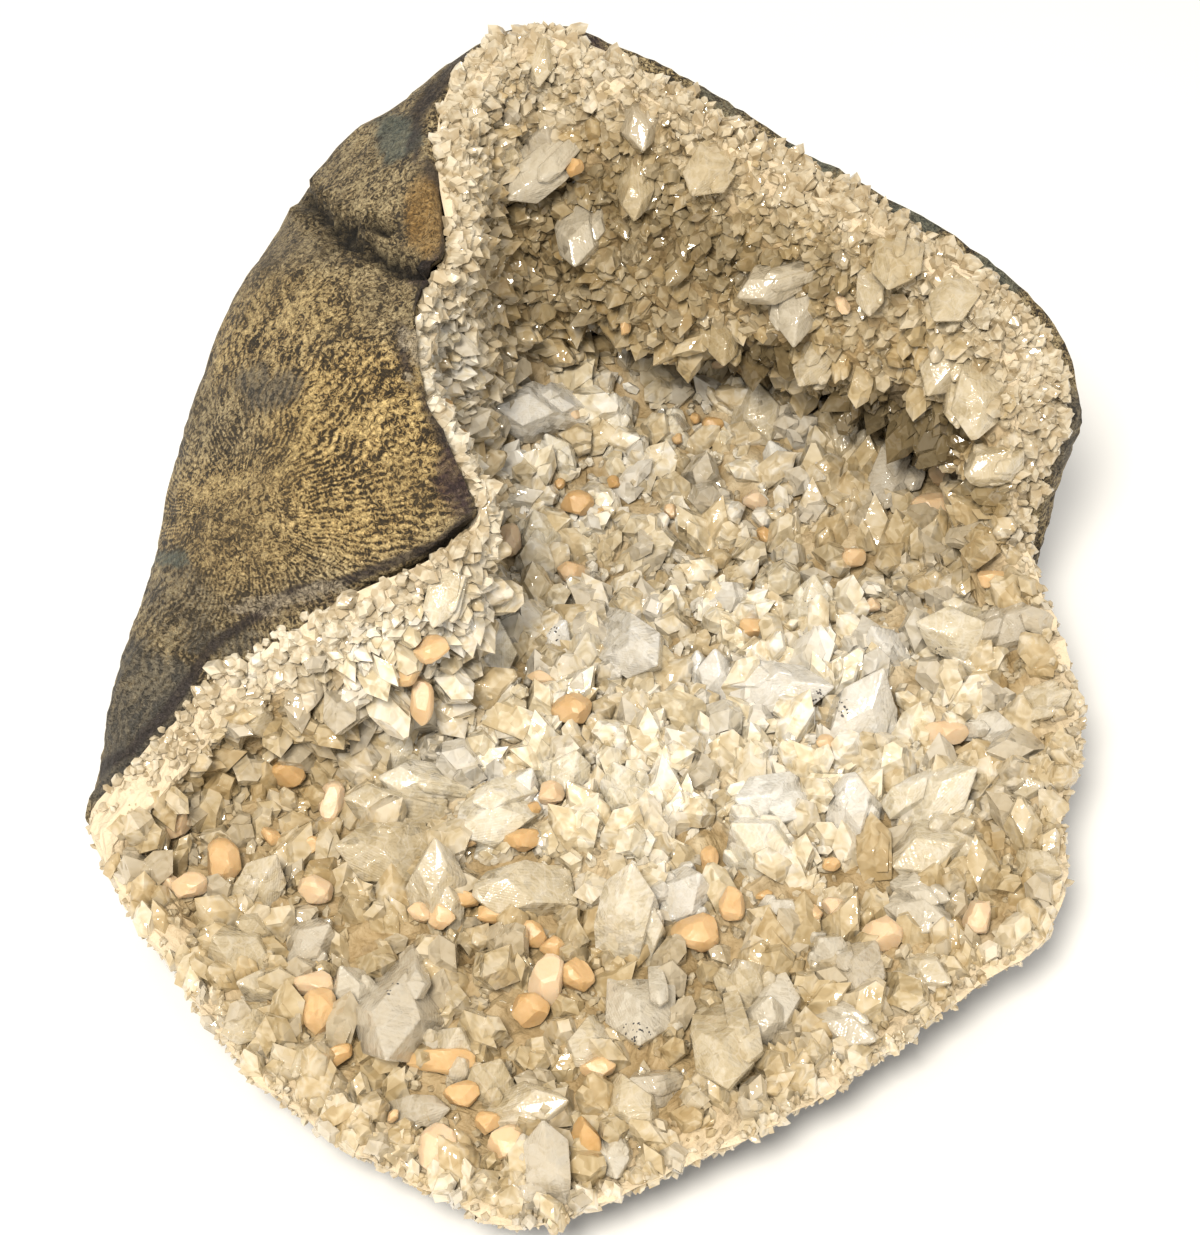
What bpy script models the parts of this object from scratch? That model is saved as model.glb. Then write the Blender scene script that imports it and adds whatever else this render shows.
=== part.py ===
"""Apophyllite geode: a basalt nodule broken open, its hollow lined with a crust of crystals.

Two pieces grew as one specimen: the basalt rind, flat where it was cut off to stand, and the crust
of apophyllite points and stilbite balls inside it. Z is up, the broken mouth faces the front (-Y)
and the origin is the middle of the flat cut.

Both pieces are lofts. A rib is one vertical cut through the specimen, from the foot, up the outside,
over the broken edge, and down the hollow to the middle of its floor. The ribs stand side by side
round the specimen, and each is written where a viewer in front and above sees it.
"""

import math
import random

import bmesh
import bpy
from mathutils import Matrix, Vector, noise
from mathutils.bvhtree import BVHTree

MM = 0.001

# The viewer that the ribs and crystals are written for, in millimetres and picture points
VIEW_RISE = math.radians(50)
VIEW_TARGET = Vector((0, 0, 55))
VIEW_DISTANCE = 700
MM_PER_POINT = 0.25
PICTURE_CENTRE = (600, 617.5)
TO_EYE = Vector((0, -math.cos(VIEW_RISE), math.sin(VIEW_RISE)))
VIEW_RIGHT = Vector((1, 0, 0))
VIEW_UP = Vector((0, math.sin(VIEW_RISE), math.cos(VIEW_RISE)))
EYE = VIEW_TARGET + TO_EYE * VIEW_DISTANCE

# Rind and crust, in millimetres
FLOOR_MIDDLE = Vector((10, -20, 29))
FOOT_MIDDLE = Vector((0, -12, 0))
FOOT_SHARE = 0.74
RIND_EDGE_SHARE = 0.3
CRUST_THICKNESS = 9.5
CRUST_LEAST = 5.5
RIND_LEAST = 4
GAP = 0.5
KEEP_OUT = 0.35
LUMP_HEIGHT = 1.6
LUMP_SIZE = 34
DRUSE_HEIGHT = 1.4
DRUSE_SIZE = 9

# Crystals: an apophyllite is a square prism whose four tip faces look to its corners
TIP_STEEPNESS = (1.35, 1.75)
ROOT_LENGTH = 3.5
ROOT_SHARE = 0.7
GREATEST_LEAN = math.radians(62)
BALL_SINK = 0.15

# Steps of the lofts: round the specimen, down the outside, and along each stretch of the inside ribs
STEPS_ROUND = 48
STEPS_OUTSIDE = 7
STEPS_CONTACT = (2, 1, 1, 2, 1)
STEPS_HOLLOW = (2, 2, 2, 2, 1)
EASE_PER_LEVEL = 1

# Each rib: the rind's edge, the crust's edge and, where a ledge of crust hangs over a crevice, the
# ledge's lower edge, all as (across, down, height). Then how far the outside swells past the edge, the
# height of that belly, how steeply the outside leaves the edge in degrees, and how far the hollow runs
# back under the edge (below zero, it slopes in to the floor).
RIBS = {
    "front_corner": ((520, 1218, 15), (524, 1227, 28), None, -3, 9, 80, -24),
    "front_right_1": ((640, 1174, 15), (646, 1181, 28), None, -3, 9, 80, -24),
    "front_right_2": ((800, 1096, 16), (812, 1101, 28), None, -3, 10, 80, -24),
    "front_right_3": ((962, 980, 18), (985, 979, 30), None, -3, 11, 80, -22),
    "right_corner": ((1036, 906, 20), (1063, 911, 33), None, -3, 12, 80, -20),
    "right_low": ((1036, 822, 22), (1058, 822, 36), None, 0, 14, 80, -18),
    "right_bump": ((1058, 725, 26), (1083, 726, 40), None, 0, 16, 80, -22),
    "right_notch": ((1018, 578, 36), (1036, 578, 50), None, 2, 26, 80, -18),
    "right_under": ((1040, 508, 56), (1010, 515, 60), None, 3, 34, 80, -12),
    "shoulder": ((1091, 400, 82), (1016, 414, 86), (995, 492, 66), 0, 46, 80, -6),
    "shoulder_top": ((1052, 314, 104), (1004, 345, 104), (958, 452, 66), 4, 54, 75, 8),
    "back_right": ((962, 241, 116), (935, 270, 116), (884, 400, 68), 25, 55, 60, 18),
    "back_mid": ((800, 147, 130), (780, 178, 131), (752, 352, 72), 34, 60, 58, 24),
    "back_left": ((640, 56, 142), (625, 86, 143), (640, 318, 80), 24, 65, 58, 12),
    "top": ((516, 14, 148), (523, 46, 149), None, 22, 70, 52, -14),
    "top_left": ((452, 66, 149), (478, 92, 148), None, 38, 74, 40, -10),
    "hood_1": ((418, 140, 148), (462, 160, 144), None, 52, 72, 20, -2),
    "hood_2": ((442, 215, 145), (470, 225, 138), None, 74, 66, 8, 4),
    "hood_3": ((432, 278, 140), (448, 285, 130), None, 79, 60, 5, 10),
    "hood_4": ((402, 335, 133), (412, 345, 122), None, 76, 55, 5, 16),
    "hood_5": ((432, 425, 123), (440, 420, 110), None, 78, 50, 5, 22),
    "nose": ((472, 518, 108), (488, 535, 98), None, 85, 45, 5, 6),
    "lip_1": ((345, 581, 92), (365, 625, 82), None, 57, 40, 8, 16),
    "lip_2": ((213, 645, 70), (250, 700, 60), None, 32, 34, 20, 14),
    "lip_3": ((125, 750, 54), (165, 790, 50), None, 12, 34, 60, 2),
    "left_corner": ((83, 786, 44), (114, 828, 44), None, 3, 30, 80, -14),
    "left_low": ((94, 866, 34), (112, 882, 38), None, 0, 22, 80, -18),
    "front_left_1": ((152, 928, 24), (158, 938, 34), None, -3, 14, 80, -22),
    "front_left_2": ((240, 1050, 18), (238, 1060, 30), None, -6, 10, 80, -22),
    "front_left_3": ((342, 1132, 16), (356, 1149, 28), None, -7, 9, 80, -24),
    "front_left_4": ((448, 1186, 15), (448, 1198, 28), None, -6, 9, 80, -24),
}

# Apophyllites as (across, down, width, length, heading, lean): where the middle is seen, the size in
# picture points, where the tip points in the picture, anticlockwise from the right, and how far it
# leans to the viewer, both in degrees.
APOPHYLLITES = (
    (536, 176, 48, 84, 225, 30), (543, 139, 38, 50, 100, 40), (635, 192, 32, 60, 268, 15),
    (578, 242, 40, 64, 262, 35), (540, 69, 24, 40, 265, 20), (497, 153, 36, 50, 150, 40),
    (640, 133, 30, 44, 280, 30), (704, 176, 44, 54, 240, 35), (723, 347, 36, 50, 270, 30),
    (768, 284, 36, 78, 205, 20), (794, 319, 38, 66, 268, 20), (812, 367, 40, 52, 235, 35),
    (870, 295, 28, 50, 265, 25), (894, 270, 44, 50, 250, 40),
    (945, 309, 42, 50, 225, 40), (1044, 352, 48, 56, 320, 30), (937, 377, 48, 54, 240, 30),
    (975, 412, 52, 72, 262, 30), (1019, 419, 38, 44, 290, 60), (983, 468, 44, 52, 215, 30),
    (757, 402, 56, 60, 100, 40), (848, 427, 44, 54, 80, 40), (889, 489, 60, 70, 250, 45),
    (817, 484, 24, 52, 92, 20), (775, 453, 34, 40, 120, 40), (908, 425, 38, 46, 110, 40),
    (812, 603, 38, 56, 88, 30), (950, 632, 56, 86, 165, 25), (1019, 621, 46, 58, 30, 35),
    (879, 643, 44, 52, 120, 45), (528, 412, 52, 110, 188, 18), (612, 412, 48, 54, 80, 50),
    (553, 448, 38, 48, 120, 45), (671, 425, 36, 44, 90, 65), (501, 379, 34, 44, 150, 35),
    (538, 530, 40, 50, 100, 40), (490, 639, 62, 76, 70, 50), (558, 634, 36, 46, 60, 40),
    (635, 650, 58, 108, 302, 28), (714, 670, 36, 54, 88, 30), (440, 603, 30, 54, 255, 15),
    (399, 593, 30, 40, 200, 20), (256, 715, 36, 52, 75, 25), (399, 748, 36, 44, 60, 30),
    (425, 784, 36, 92, 178, 18), (386, 806, 40, 92, 172, 20),
    (110, 812, 36, 58, 110, 25), (264, 878, 44, 54, 60, 35), (228, 947, 56, 62, 130, 55),
    (317, 937, 42, 52, 45, 45), (437, 875, 44, 86, 92, 25), (371, 853, 60, 88, 165, 35),
    (350, 986, 36, 56, 110, 35), (394, 1025, 66, 132, 266, 25), (455, 1044, 46, 50, 75, 50),
    (256, 986, 34, 44, 160, 45), (243, 1029, 30, 44, 200, 30), (304, 1065, 34, 44, 240, 35),
    (487, 822, 62, 82, 205, 40), (520, 789, 38, 52, 60, 35), (571, 766, 46, 56, 70, 50),
    (620, 779, 46, 54, 110, 45), (510, 894, 54, 94, 178, 25), (628, 904, 52, 104, 85, 32),
    (752, 840, 60, 76, 140, 45), (689, 889, 54, 64, 60, 50), (640, 1026, 66, 74, 265, 62),
    (587, 1050, 40, 50, 240, 55), (638, 1092, 34, 60, 200, 30), (724, 1057, 54, 112, 272, 25),
    (765, 1019, 34, 52, 80, 35), (745, 975, 48, 54, 100, 50), (789, 692, 56, 96, 2, 22),
    (866, 704, 56, 92, 66, 28), (1001, 731, 44, 48, 20, 60), (948, 790, 54, 84, 42, 32),
    (925, 856, 54, 92, 204, 30), (970, 849, 46, 52, 30, 60), (853, 799, 46, 74, 96, 30),
    (759, 802, 56, 72, 170, 45), (930, 919, 48, 66, 325, 30), (784, 912, 36, 44, 60, 50),
    (827, 950, 38, 46, 120, 55), (858, 981, 52, 62, 265, 45), (779, 1014, 50, 54, 280, 60),
    (427, 1112, 30, 50, 12, 25), (547, 1155, 44, 78, 95, 30), (535, 1109, 42, 76, 20, 30),
    (494, 1076, 44, 52, 70, 45), (637, 1117, 48, 58, 300, 40), (614, 1165, 32, 44, 275, 25),
    (853, 1032, 40, 56, 330, 30), (1032, 787, 34, 42, 0, 40),
    (1045, 870, 34, 42, 340, 40), (1052, 700, 34, 46, 20, 30), (930, 975, 34, 46, 330, 35),
)

# Stilbite balls as (across, down, width, length, heading)
STILBITES = (
    (583, 157, 20, 22, 90), (945, 478, 28, 28, 0), (979, 502, 26, 35, 30),
    (938, 517, 28, 44, 0), (853, 567, 25, 30, 0), (756, 509, 22, 26, 0),
    (713, 434, 20, 22, 0), (998, 574, 20, 30, 0), (752, 639, 22, 32, 0), (422, 328, 25, 31, 0),
    (648, 348, 22, 33, 10), (686, 357, 19, 22, 0), (560, 420, 21, 24, 0), (604, 429, 22, 33, 0),
    (570, 517, 28, 34, 0), (505, 549, 28, 33, 90), (571, 582, 27, 32, 0),
    (421, 624, 25, 37, 20), (413, 674, 24, 50, 92), (285, 784, 31, 38, 0), (331, 815, 28, 40, 70),
    (170, 833, 34, 40, 20), (223, 876, 34, 42, 100), (187, 901, 25, 36, 0), (316, 903, 26, 38, 0),
    (315, 996, 26, 38, 0), (320, 1026, 34, 44, 90), (442, 927, 25, 28, 0), (465, 848, 24, 32, 0),
    (442, 1075, 26, 60, 0), (576, 725, 31, 42, 0), (551, 805, 24, 26, 0), (523, 850, 26, 38, 0),
    (696, 945, 36, 44, 0), (732, 922, 24, 34, 90), (548, 996, 34, 48, 80), (576, 988, 28, 38, 130),
    (530, 1021, 30, 36, 0), (530, 945, 28, 32, 0), (495, 927, 18, 37, 0), (464, 912, 20, 32, 0),
    (708, 868, 18, 28, 90), (599, 1078, 21, 32, 0), (850, 738, 32, 36, 0),
    (946, 746, 28, 44, 0), (881, 945, 33, 38, 0), (978, 930, 28, 36, 70), (833, 917, 18, 22, 0),
    (463, 1107, 26, 32, 0), (439, 1158, 36, 44, 90), (508, 1155, 32, 38, 0), (586, 1153, 28, 46, 100),
)


def seen_at(across, down, height):
    """The point of that height that the viewer sees at a place in the picture."""
    ray = (
        VIEW_RIGHT * (across - PICTURE_CENTRE[0]) * MM_PER_POINT
        + VIEW_UP * (PICTURE_CENTRE[1] - down) * MM_PER_POINT
        - TO_EYE * VIEW_DISTANCE
    )
    return EYE + ray * ((height - EYE.z) / ray.z)


def between(points, along, closed):
    """A smooth curve through the points, read at a share counted in points."""
    count = len(points)
    first = math.floor(along)
    share = along - first

    def point(step):
        index = first + step
        return points[index % count] if closed else points[min(max(index, 0), count - 1)]

    before, start, end, after = (point(step) for step in (-1, 0, 1, 2))
    return 0.5 * (
        2 * start
        + (end - before) * share
        + (2 * before - 5 * start + 4 * end - after) * share**2
        + (3 * start - before - 3 * end + after) * share**3
    )


def spaced(curve, steps):
    """The same curve as steps + 1 points at even distances along it."""
    lengths = [0.0]
    for here, there in zip(curve, curve[1:]):
        lengths.append(lengths[-1] + (there - here).length)
    points, index = [], 0
    for step in range(steps + 1):
        wanted = lengths[-1] * step / steps
        while index < len(curve) - 2 and lengths[index + 1] < wanted:
            index += 1
        stretch = lengths[index + 1] - lengths[index]
        points.append(curve[index].lerp(curve[index + 1], (wanted - lengths[index]) / stretch))
    return points


def arc(start, leave, end, arrive, reach=0.56, steps=12):
    """A curve from start to end that leaves and arrives along two directions."""
    handle = (end - start).length * reach
    points = [start, start + leave * handle, end - arrive * handle, end]
    curve = []
    for step in range(steps + 1):
        t = step / steps
        weights = ((1 - t) ** 3, 3 * t * (1 - t) ** 2, 3 * t * t * (1 - t), t**3)
        curve.append(sum((point * weight for point, weight in zip(points, weights)), Vector()))
    return curve


def outward(point, middle):
    """The level direction from a middle to a point."""
    away = point - middle
    away.z = 0
    return away.normalized()


def outside_rib(edge, swell, belly_height, steepness):
    """The rind's outside, from its broken edge over the belly to the flat foot."""
    away = outward(edge, FLOOR_MIDDLE)
    fall = math.radians(steepness)
    belly = edge + away * swell
    belly.z = belly_height
    foot = FOOT_MIDDLE + (belly - FOOT_MIDDLE) * FOOT_SHARE
    foot.z = 0
    down = Vector((0, 0, -1))
    inwards = (foot - belly).normalized()
    leave = away * math.cos(fall) + down * math.sin(fall)
    upper = arc(edge, leave, belly, down)
    lower = arc(belly, down, foot, inwards, reach=0.4)
    return spaced(upper + lower[1:], STEPS_OUTSIDE)


def hollow_points(edge, ledge, undercut):
    """The wall and floor on one rib: edge, upper wall, ledge, corner, floor and its middle."""
    away = outward(edge, FLOOR_MIDDLE)
    drop = edge.z - FLOOR_MIDDLE.z
    wall = edge + away * undercut * 0.5 - Vector((0, 0, drop * 0.3))
    lower_wall = edge + away * undercut * 0.85 - Vector((0, 0, drop * 0.62))
    corner = edge + away * undercut
    corner.z = FLOOR_MIDDLE.z + drop * 0.16
    if ledge:
        corner = corner + away * 3
        wall = edge.lerp(ledge, 0.45) - away * 2
    floor = corner.lerp(FLOOR_MIDDLE, 0.42)
    floor.z = FLOOR_MIDDLE.z - 1.5
    return [edge, wall, ledge or lower_wall, corner, floor, FLOOR_MIDDLE.copy()]


def contact_points(edge, undercut):
    """The face that rind and crust share on one rib, behind the crust's wall and floor."""
    plain = hollow_points(edge, None, undercut)
    return behind(plain, outward(edge, FLOOR_MIDDLE), CRUST_THICKNESS)


def behind(points, away, thickness):
    """The points of a rib moved out of the hollow, square to the rib."""
    moved = []
    for index, point in enumerate(points):
        before = points[max(index - 1, 0)]
        after = points[min(index + 1, len(points) - 1)]
        along = after - before
        level, rise = along.dot(away), along.z
        square = (away * -rise + Vector((0, 0, level))).normalized()
        moved.append(point + square * thickness)
    moved[-1] = points[-1] - Vector((0, 0, thickness))
    return moved


def smooth_rib(points, steps):
    """Points along the smooth curve through a rib's own points, so many to each stretch."""
    curve = []
    for index, count in enumerate(steps):
        curve += [between(points, index + step / count, False) for step in range(count)]
    return curve + [points[-1]]


def specimen_ribs():
    """For every rib the outside, the contact of rind and crust, and the hollow's own face."""
    outsides, contacts, hollows = [], [], []
    for rind_edge, crust_edge, ledge, swell, belly_height, steepness, undercut in RIBS.values():
        rind, crust = seen_at(*rind_edge), seen_at(*crust_edge)
        outsides.append(outside_rib(rind, swell, belly_height, steepness))
        back = contact_points(crust, undercut)
        back[0] = rind.lerp(crust, RIND_EDGE_SHARE)
        contacts.append(smooth_rib(back, STEPS_CONTACT))
        hollows.append(smooth_rib(hollow_points(crust, ledge and seen_at(*ledge), undercut), STEPS_HOLLOW))
    return outsides, contacts, hollows


def even_places(edges):
    """Where to read the ribs so that the steps round the broken edge are even."""
    count, fine = len(edges), 20
    curve = [between(edges, step / fine, True) for step in range(count * fine + 1)]
    lengths = [0.0]
    for here, there in zip(curve, curve[1:]):
        lengths.append(lengths[-1] + (there - here).length)
    places, index = [], 0
    for step in range(STEPS_ROUND):
        wanted = lengths[-1] * step / STEPS_ROUND
        while lengths[index + 1] < wanted:
            index += 1
        share = (wanted - lengths[index]) / (lengths[index + 1] - lengths[index])
        places.append((index + share) / fine)
    return places


def loops_of(ribs, places):
    """The closed loops across the ribs, from the edge down."""
    levels = len(ribs[0])
    return [[between([rib[level] for rib in ribs], place, True) for place in places]
            for level in range(levels)]


def normals_of(loops):
    """The direction square to a lofted face at each of its points, to its left going down the ribs."""
    squares = []
    for level, loop in enumerate(loops):
        above, below = loops[max(level - 1, 0)], loops[min(level + 1, len(loops) - 1)]
        count = len(loop)
        squares.append([(loop[(i + 1) % count] - loop[i - 1]).cross(below[i] - above[i]).normalized()
                        for i in range(count)])
    return squares


def moved_loops(loops, squares, distance):
    return [[point + square * distance for point, square in zip(loop, row)]
            for loop, row in zip(loops, squares)]


def loft(name, loops, first_closed, last_closed):
    """A closed solid through closed loops, each end a point or a flat cap."""
    bm = bmesh.new()
    rows = [[bm.verts.new(point * MM) for point in loop] for loop in loops]
    for upper, lower in zip(rows, rows[1:]):
        if len(lower) == 1 or len(upper) == 1:
            tip = (lower if len(lower) == 1 else upper)[0]
            ring = upper if len(lower) == 1 else lower
            for index, corner in enumerate(ring):
                bm.faces.new((corner, ring[(index + 1) % len(ring)], tip))
            continue
        for index in range(len(upper)):
            after = (index + 1) % len(upper)
            bm.faces.new((upper[index], upper[after], lower[after], lower[index]))
    if first_closed:
        bm.faces.new(rows[0])
    if last_closed:
        bm.faces.new(rows[-1])
    bmesh.ops.triangulate(bm, faces=[face for face in bm.faces if len(face.verts) == 4])
    bmesh.ops.recalc_face_normals(bm, faces=bm.faces)
    mesh = bpy.data.meshes.new(name)
    bm.to_mesh(mesh)
    bm.free()
    return bpy.data.objects.new(name, mesh)


def eased(loops):
    """The outside with the steps between ribs evened out, more so the further it is from the edge."""
    eased_loops = []
    for level, loop in enumerate(loops):
        for _ in range(level * EASE_PER_LEVEL):
            loop = [point * 0.5 + (loop[index - 1] + loop[(index + 1) % len(loop)]) * 0.25
                    for index, point in enumerate(loop)]
        eased_loops.append(loop)
    return eased_loops


def lumpy(loops, squares):
    """The outside with the low swellings of a lava nodule, its edge and foot left as they are."""
    shaped = []
    for level, (loop, row) in enumerate(zip(loops, squares)):
        share = math.sin(math.pi * level / (len(loops) - 1)) ** 0.5 if 0 < level < len(loops) - 1 else 0
        shaped.append([point + square * noise.noise(point / LUMP_SIZE) * LUMP_HEIGHT * 2 * share
                       for point, square in zip(loop, row)])
    return shaped


def druse(loops, squares):
    """The hollow's own face with the low bumps of small crystals, its edge left as it is."""
    shaped = [loops[0]]
    for loop, row in zip(loops[1:], squares[1:]):
        shaped.append([point + square * noise.noise(point / DRUSE_SIZE) * DRUSE_HEIGHT * 2
                       for point, square in zip(loop, row)])
    return shaped


def face_of(loops):
    """The lofted face through closed loops, for casting rays and finding the nearest place."""
    count = len(loops[0])
    corners = [point for loop in loops for point in loop]
    faces = []
    for upper in range(0, len(corners) - count, count):
        for index in range(count):
            after = (index + 1) % count
            faces.append((upper + index, upper + after, upper + count + after, upper + count + index))
    return BVHTree.FromPolygons(corners, faces)


def kept_apart(loops, other, least):
    """The loops below the edge, each point moved off the other face to a least distance."""
    apart = [loops[0]]
    for loop in loops[1:]:
        row = []
        for point in loop:
            near, _, _, distance = other.find_nearest(point)
            short = max(0, least - distance)
            row.append(point + (point - near).normalized() * short)
        apart.append(row)
    return apart


def kept_inside(loops, outer, least):
    """The loops below the edge, each point moved in from the outer face to a least depth."""
    moved = [loops[0]]
    for loop in loops[1:]:
        row = []
        for point in loop:
            near, square, _, _ = outer.find_nearest(point)
            inwards = square if square.dot(FLOOR_MIDDLE - near) > 0 else -square
            short = max(0, least - (point - near).dot(inwards))
            row.append(point + inwards * short)
        moved.append(row)
    return moved


def picture_place(point):
    """Where the viewer sees a point, as (across, down)."""
    ray = point - EYE
    scale = VIEW_DISTANCE / -ray.dot(TO_EYE) / MM_PER_POINT
    return (PICTURE_CENTRE[0] + ray.dot(VIEW_RIGHT) * scale, PICTURE_CENTRE[1] - ray.dot(VIEW_UP) * scale)


def seen_on(surface, across, down):
    """The place of the hollow's face that the viewer sees there, and its direction out of the face."""
    ray = (seen_at(across, down, 0) - EYE).normalized()
    place, square, _, _ = surface.ray_cast(EYE, ray)
    if place is None:
        return None, None
    return place, square if square.dot(ray) < 0 else -square


def pointing(heading, lean, square):
    """A crystal's own direction, turned towards the face's where it would lie too flat on it."""
    turn, rise = math.radians(heading), math.radians(lean)
    level = VIEW_RIGHT * math.cos(turn) + VIEW_UP * math.sin(turn)
    direction = level * math.cos(rise) + TO_EYE * math.sin(rise)
    excess = direction.angle(square) - GREATEST_LEAN
    if excess > 0:
        direction = Matrix.Rotation(excess, 3, direction.cross(square)) @ direction
    return direction


def standing_place(surface, across, down, heading, lean, length):
    """Where a crystal stands on the hollow's face and which way it points, its middle seen as asked."""
    aim_across, aim_down = across, down
    place, square = seen_on(surface, across, down)
    if place is None:
        return None, None
    for _ in range(3):
        direction = pointing(heading, lean, square)
        middle = picture_place(place + direction * length / 2)
        aim_across += across - middle[0]
        aim_down += down - middle[1]
        next_place, next_square = seen_on(surface, aim_across, aim_down)
        if next_place is None:
            break
        place, square = next_place, next_square
    return place, pointing(heading, lean, square)


def apophyllite(width, length, steepness):
    """A square prism along +Z on a narrower root, cut to a point by four faces at its corners."""
    half = width / 2
    bm = bmesh.new()
    root = [bm.verts.new((x * half * ROOT_SHARE, y * half * ROOT_SHARE, -ROOT_LENGTH))
            for x, y in ((-1, -1), (1, -1), (1, 1), (-1, 1))]
    foot = [bm.verts.new((x * half, y * half, 0)) for x, y in ((-1, -1), (1, -1), (1, 1), (-1, 1))]
    top = [bm.verts.new((x * half, y * half, length)) for x, y in ((-1, -1), (1, -1), (1, 1), (-1, 1))]
    bm.faces.new(root[::-1])
    bm.faces.new(top)
    for lower, upper in ((root, foot), (foot, top)):
        for index in range(4):
            after = (index + 1) % 4
            bm.faces.new((lower[index], lower[after], upper[after], upper[index]))
    for x, y in ((1, 1), (-1, 1), (-1, -1), (1, -1)):
        square = Vector((x * steepness, y * steepness, math.sqrt(2)))
        cut = bmesh.ops.bisect_plane(bm, geom=bm.verts[:] + bm.edges[:] + bm.faces[:], dist=1e-5,
                                     plane_co=(0, 0, length), plane_no=square, clear_outer=True)
        rim = [edge for edge in cut["geom_cut"] if isinstance(edge, bmesh.types.BMEdge)]
        bmesh.ops.contextual_create(bm, geom=rim)
    return bm


def ball(width, length):
    """A stilbite ball, a little longer than wide, its long side along X."""
    bm = bmesh.new()
    bmesh.ops.create_icosphere(bm, subdivisions=1, radius=0.5)
    bmesh.ops.scale(bm, vec=(length, width, width), verts=bm.verts)
    return bm


def grown(name, bm, place, direction, spin, helpers):
    """The crystal as an object among the helpers, its own +Z along the direction."""
    turned = direction.to_track_quat("Z", "Y").to_matrix() @ Matrix.Rotation(spin, 3, "Z")
    bmesh.ops.transform(bm, matrix=turned.to_4x4(), verts=bm.verts)
    bmesh.ops.translate(bm, vec=place, verts=bm.verts)
    bmesh.ops.scale(bm, vec=(MM, MM, MM), verts=bm.verts)
    bmesh.ops.recalc_face_normals(bm, faces=bm.faces)
    mesh = bpy.data.meshes.new(name)
    bm.to_mesh(mesh)
    bm.free()
    helpers.objects.link(bpy.data.objects.new(name, mesh))


def grow_crystals(surface, helpers):
    """Every apophyllite and stilbite of the two lists, standing on the hollow's face."""
    chance = random.Random(11)
    for index, (across, down, width, length, heading, lean) in enumerate(APOPHYLLITES):
        place, direction = standing_place(surface, across, down, heading, lean, length * MM_PER_POINT)
        if place is None:
            continue
        shape = apophyllite(width * MM_PER_POINT, length * MM_PER_POINT, chance.uniform(*TIP_STEEPNESS))
        grown(f"apophyllite_{index}", shape, place, direction, chance.uniform(0, math.pi / 2), helpers)
    for index, (across, down, width, length, heading) in enumerate(STILBITES):
        place, square = seen_on(surface, across, down)
        if place is None:
            continue
        turn = math.radians(heading)
        along = VIEW_RIGHT * math.cos(turn) + VIEW_UP * math.sin(turn)
        up = square - along * square.dot(along)
        middle = place + square * width * MM_PER_POINT * (0.5 - BALL_SINK)
        shape = ball(width * MM_PER_POINT, length * MM_PER_POINT)
        across_it = up.normalized().cross(along)
        turned = Matrix((along, across_it, up.normalized())).transposed()
        bmesh.ops.transform(shape, matrix=turned.to_4x4(), verts=shape.verts)
        grown(f"stilbite_{index}", shape, middle, Vector((0, 0, 1)), 0, helpers)


def joined(obj, operation, other=None, group=None):
    """Applies one Boolean to the object.

    The EXACT solver leaves open edges where this many crystals cross, so it is the MANIFOLD one.
    """
    modifier = obj.modifiers.new(operation.lower(), "BOOLEAN")
    modifier.operation = operation
    modifier.solver = "MANIFOLD"
    if group:
        modifier.operand_type = "COLLECTION"
        modifier.collection = group
    else:
        modifier.object = other
    graph = bpy.context.evaluated_depsgraph_get()
    whole = bpy.data.meshes.new_from_object(obj.evaluated_get(graph))
    obj.modifiers.clear()
    obj.data = whole


def keep_largest(obj):
    """Removes every island of the mesh except the one with the most corners."""
    bm = bmesh.new()
    bm.from_mesh(obj.data)
    left = set(bm.verts)
    islands = []
    while left:
        island, reached = set(), [left.pop()]
        while reached:
            vert = reached.pop()
            island.add(vert)
            for edge in vert.link_edges:
                other = edge.other_vert(vert)
                if other in left:
                    left.discard(other)
                    reached.append(other)
        islands.append(island)
    largest = max(islands, key=len)
    bmesh.ops.delete(bm, geom=[vert for vert in bm.verts if vert not in largest], context="VERTS")
    bm.to_mesh(obj.data)
    bm.free()


def painted(obj, name, colour, roughness, alpha):
    material = bpy.data.materials.new(name)
    material.use_nodes = True
    surface = material.node_tree.nodes["Principled BSDF"]
    surface.inputs["Base Color"].default_value = (*colour, 1)
    surface.inputs["Roughness"].default_value = roughness
    surface.inputs["Metallic"].default_value = 0
    surface.inputs["Alpha"].default_value = alpha
    obj.data.materials.clear()
    obj.data.materials.append(material)


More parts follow.
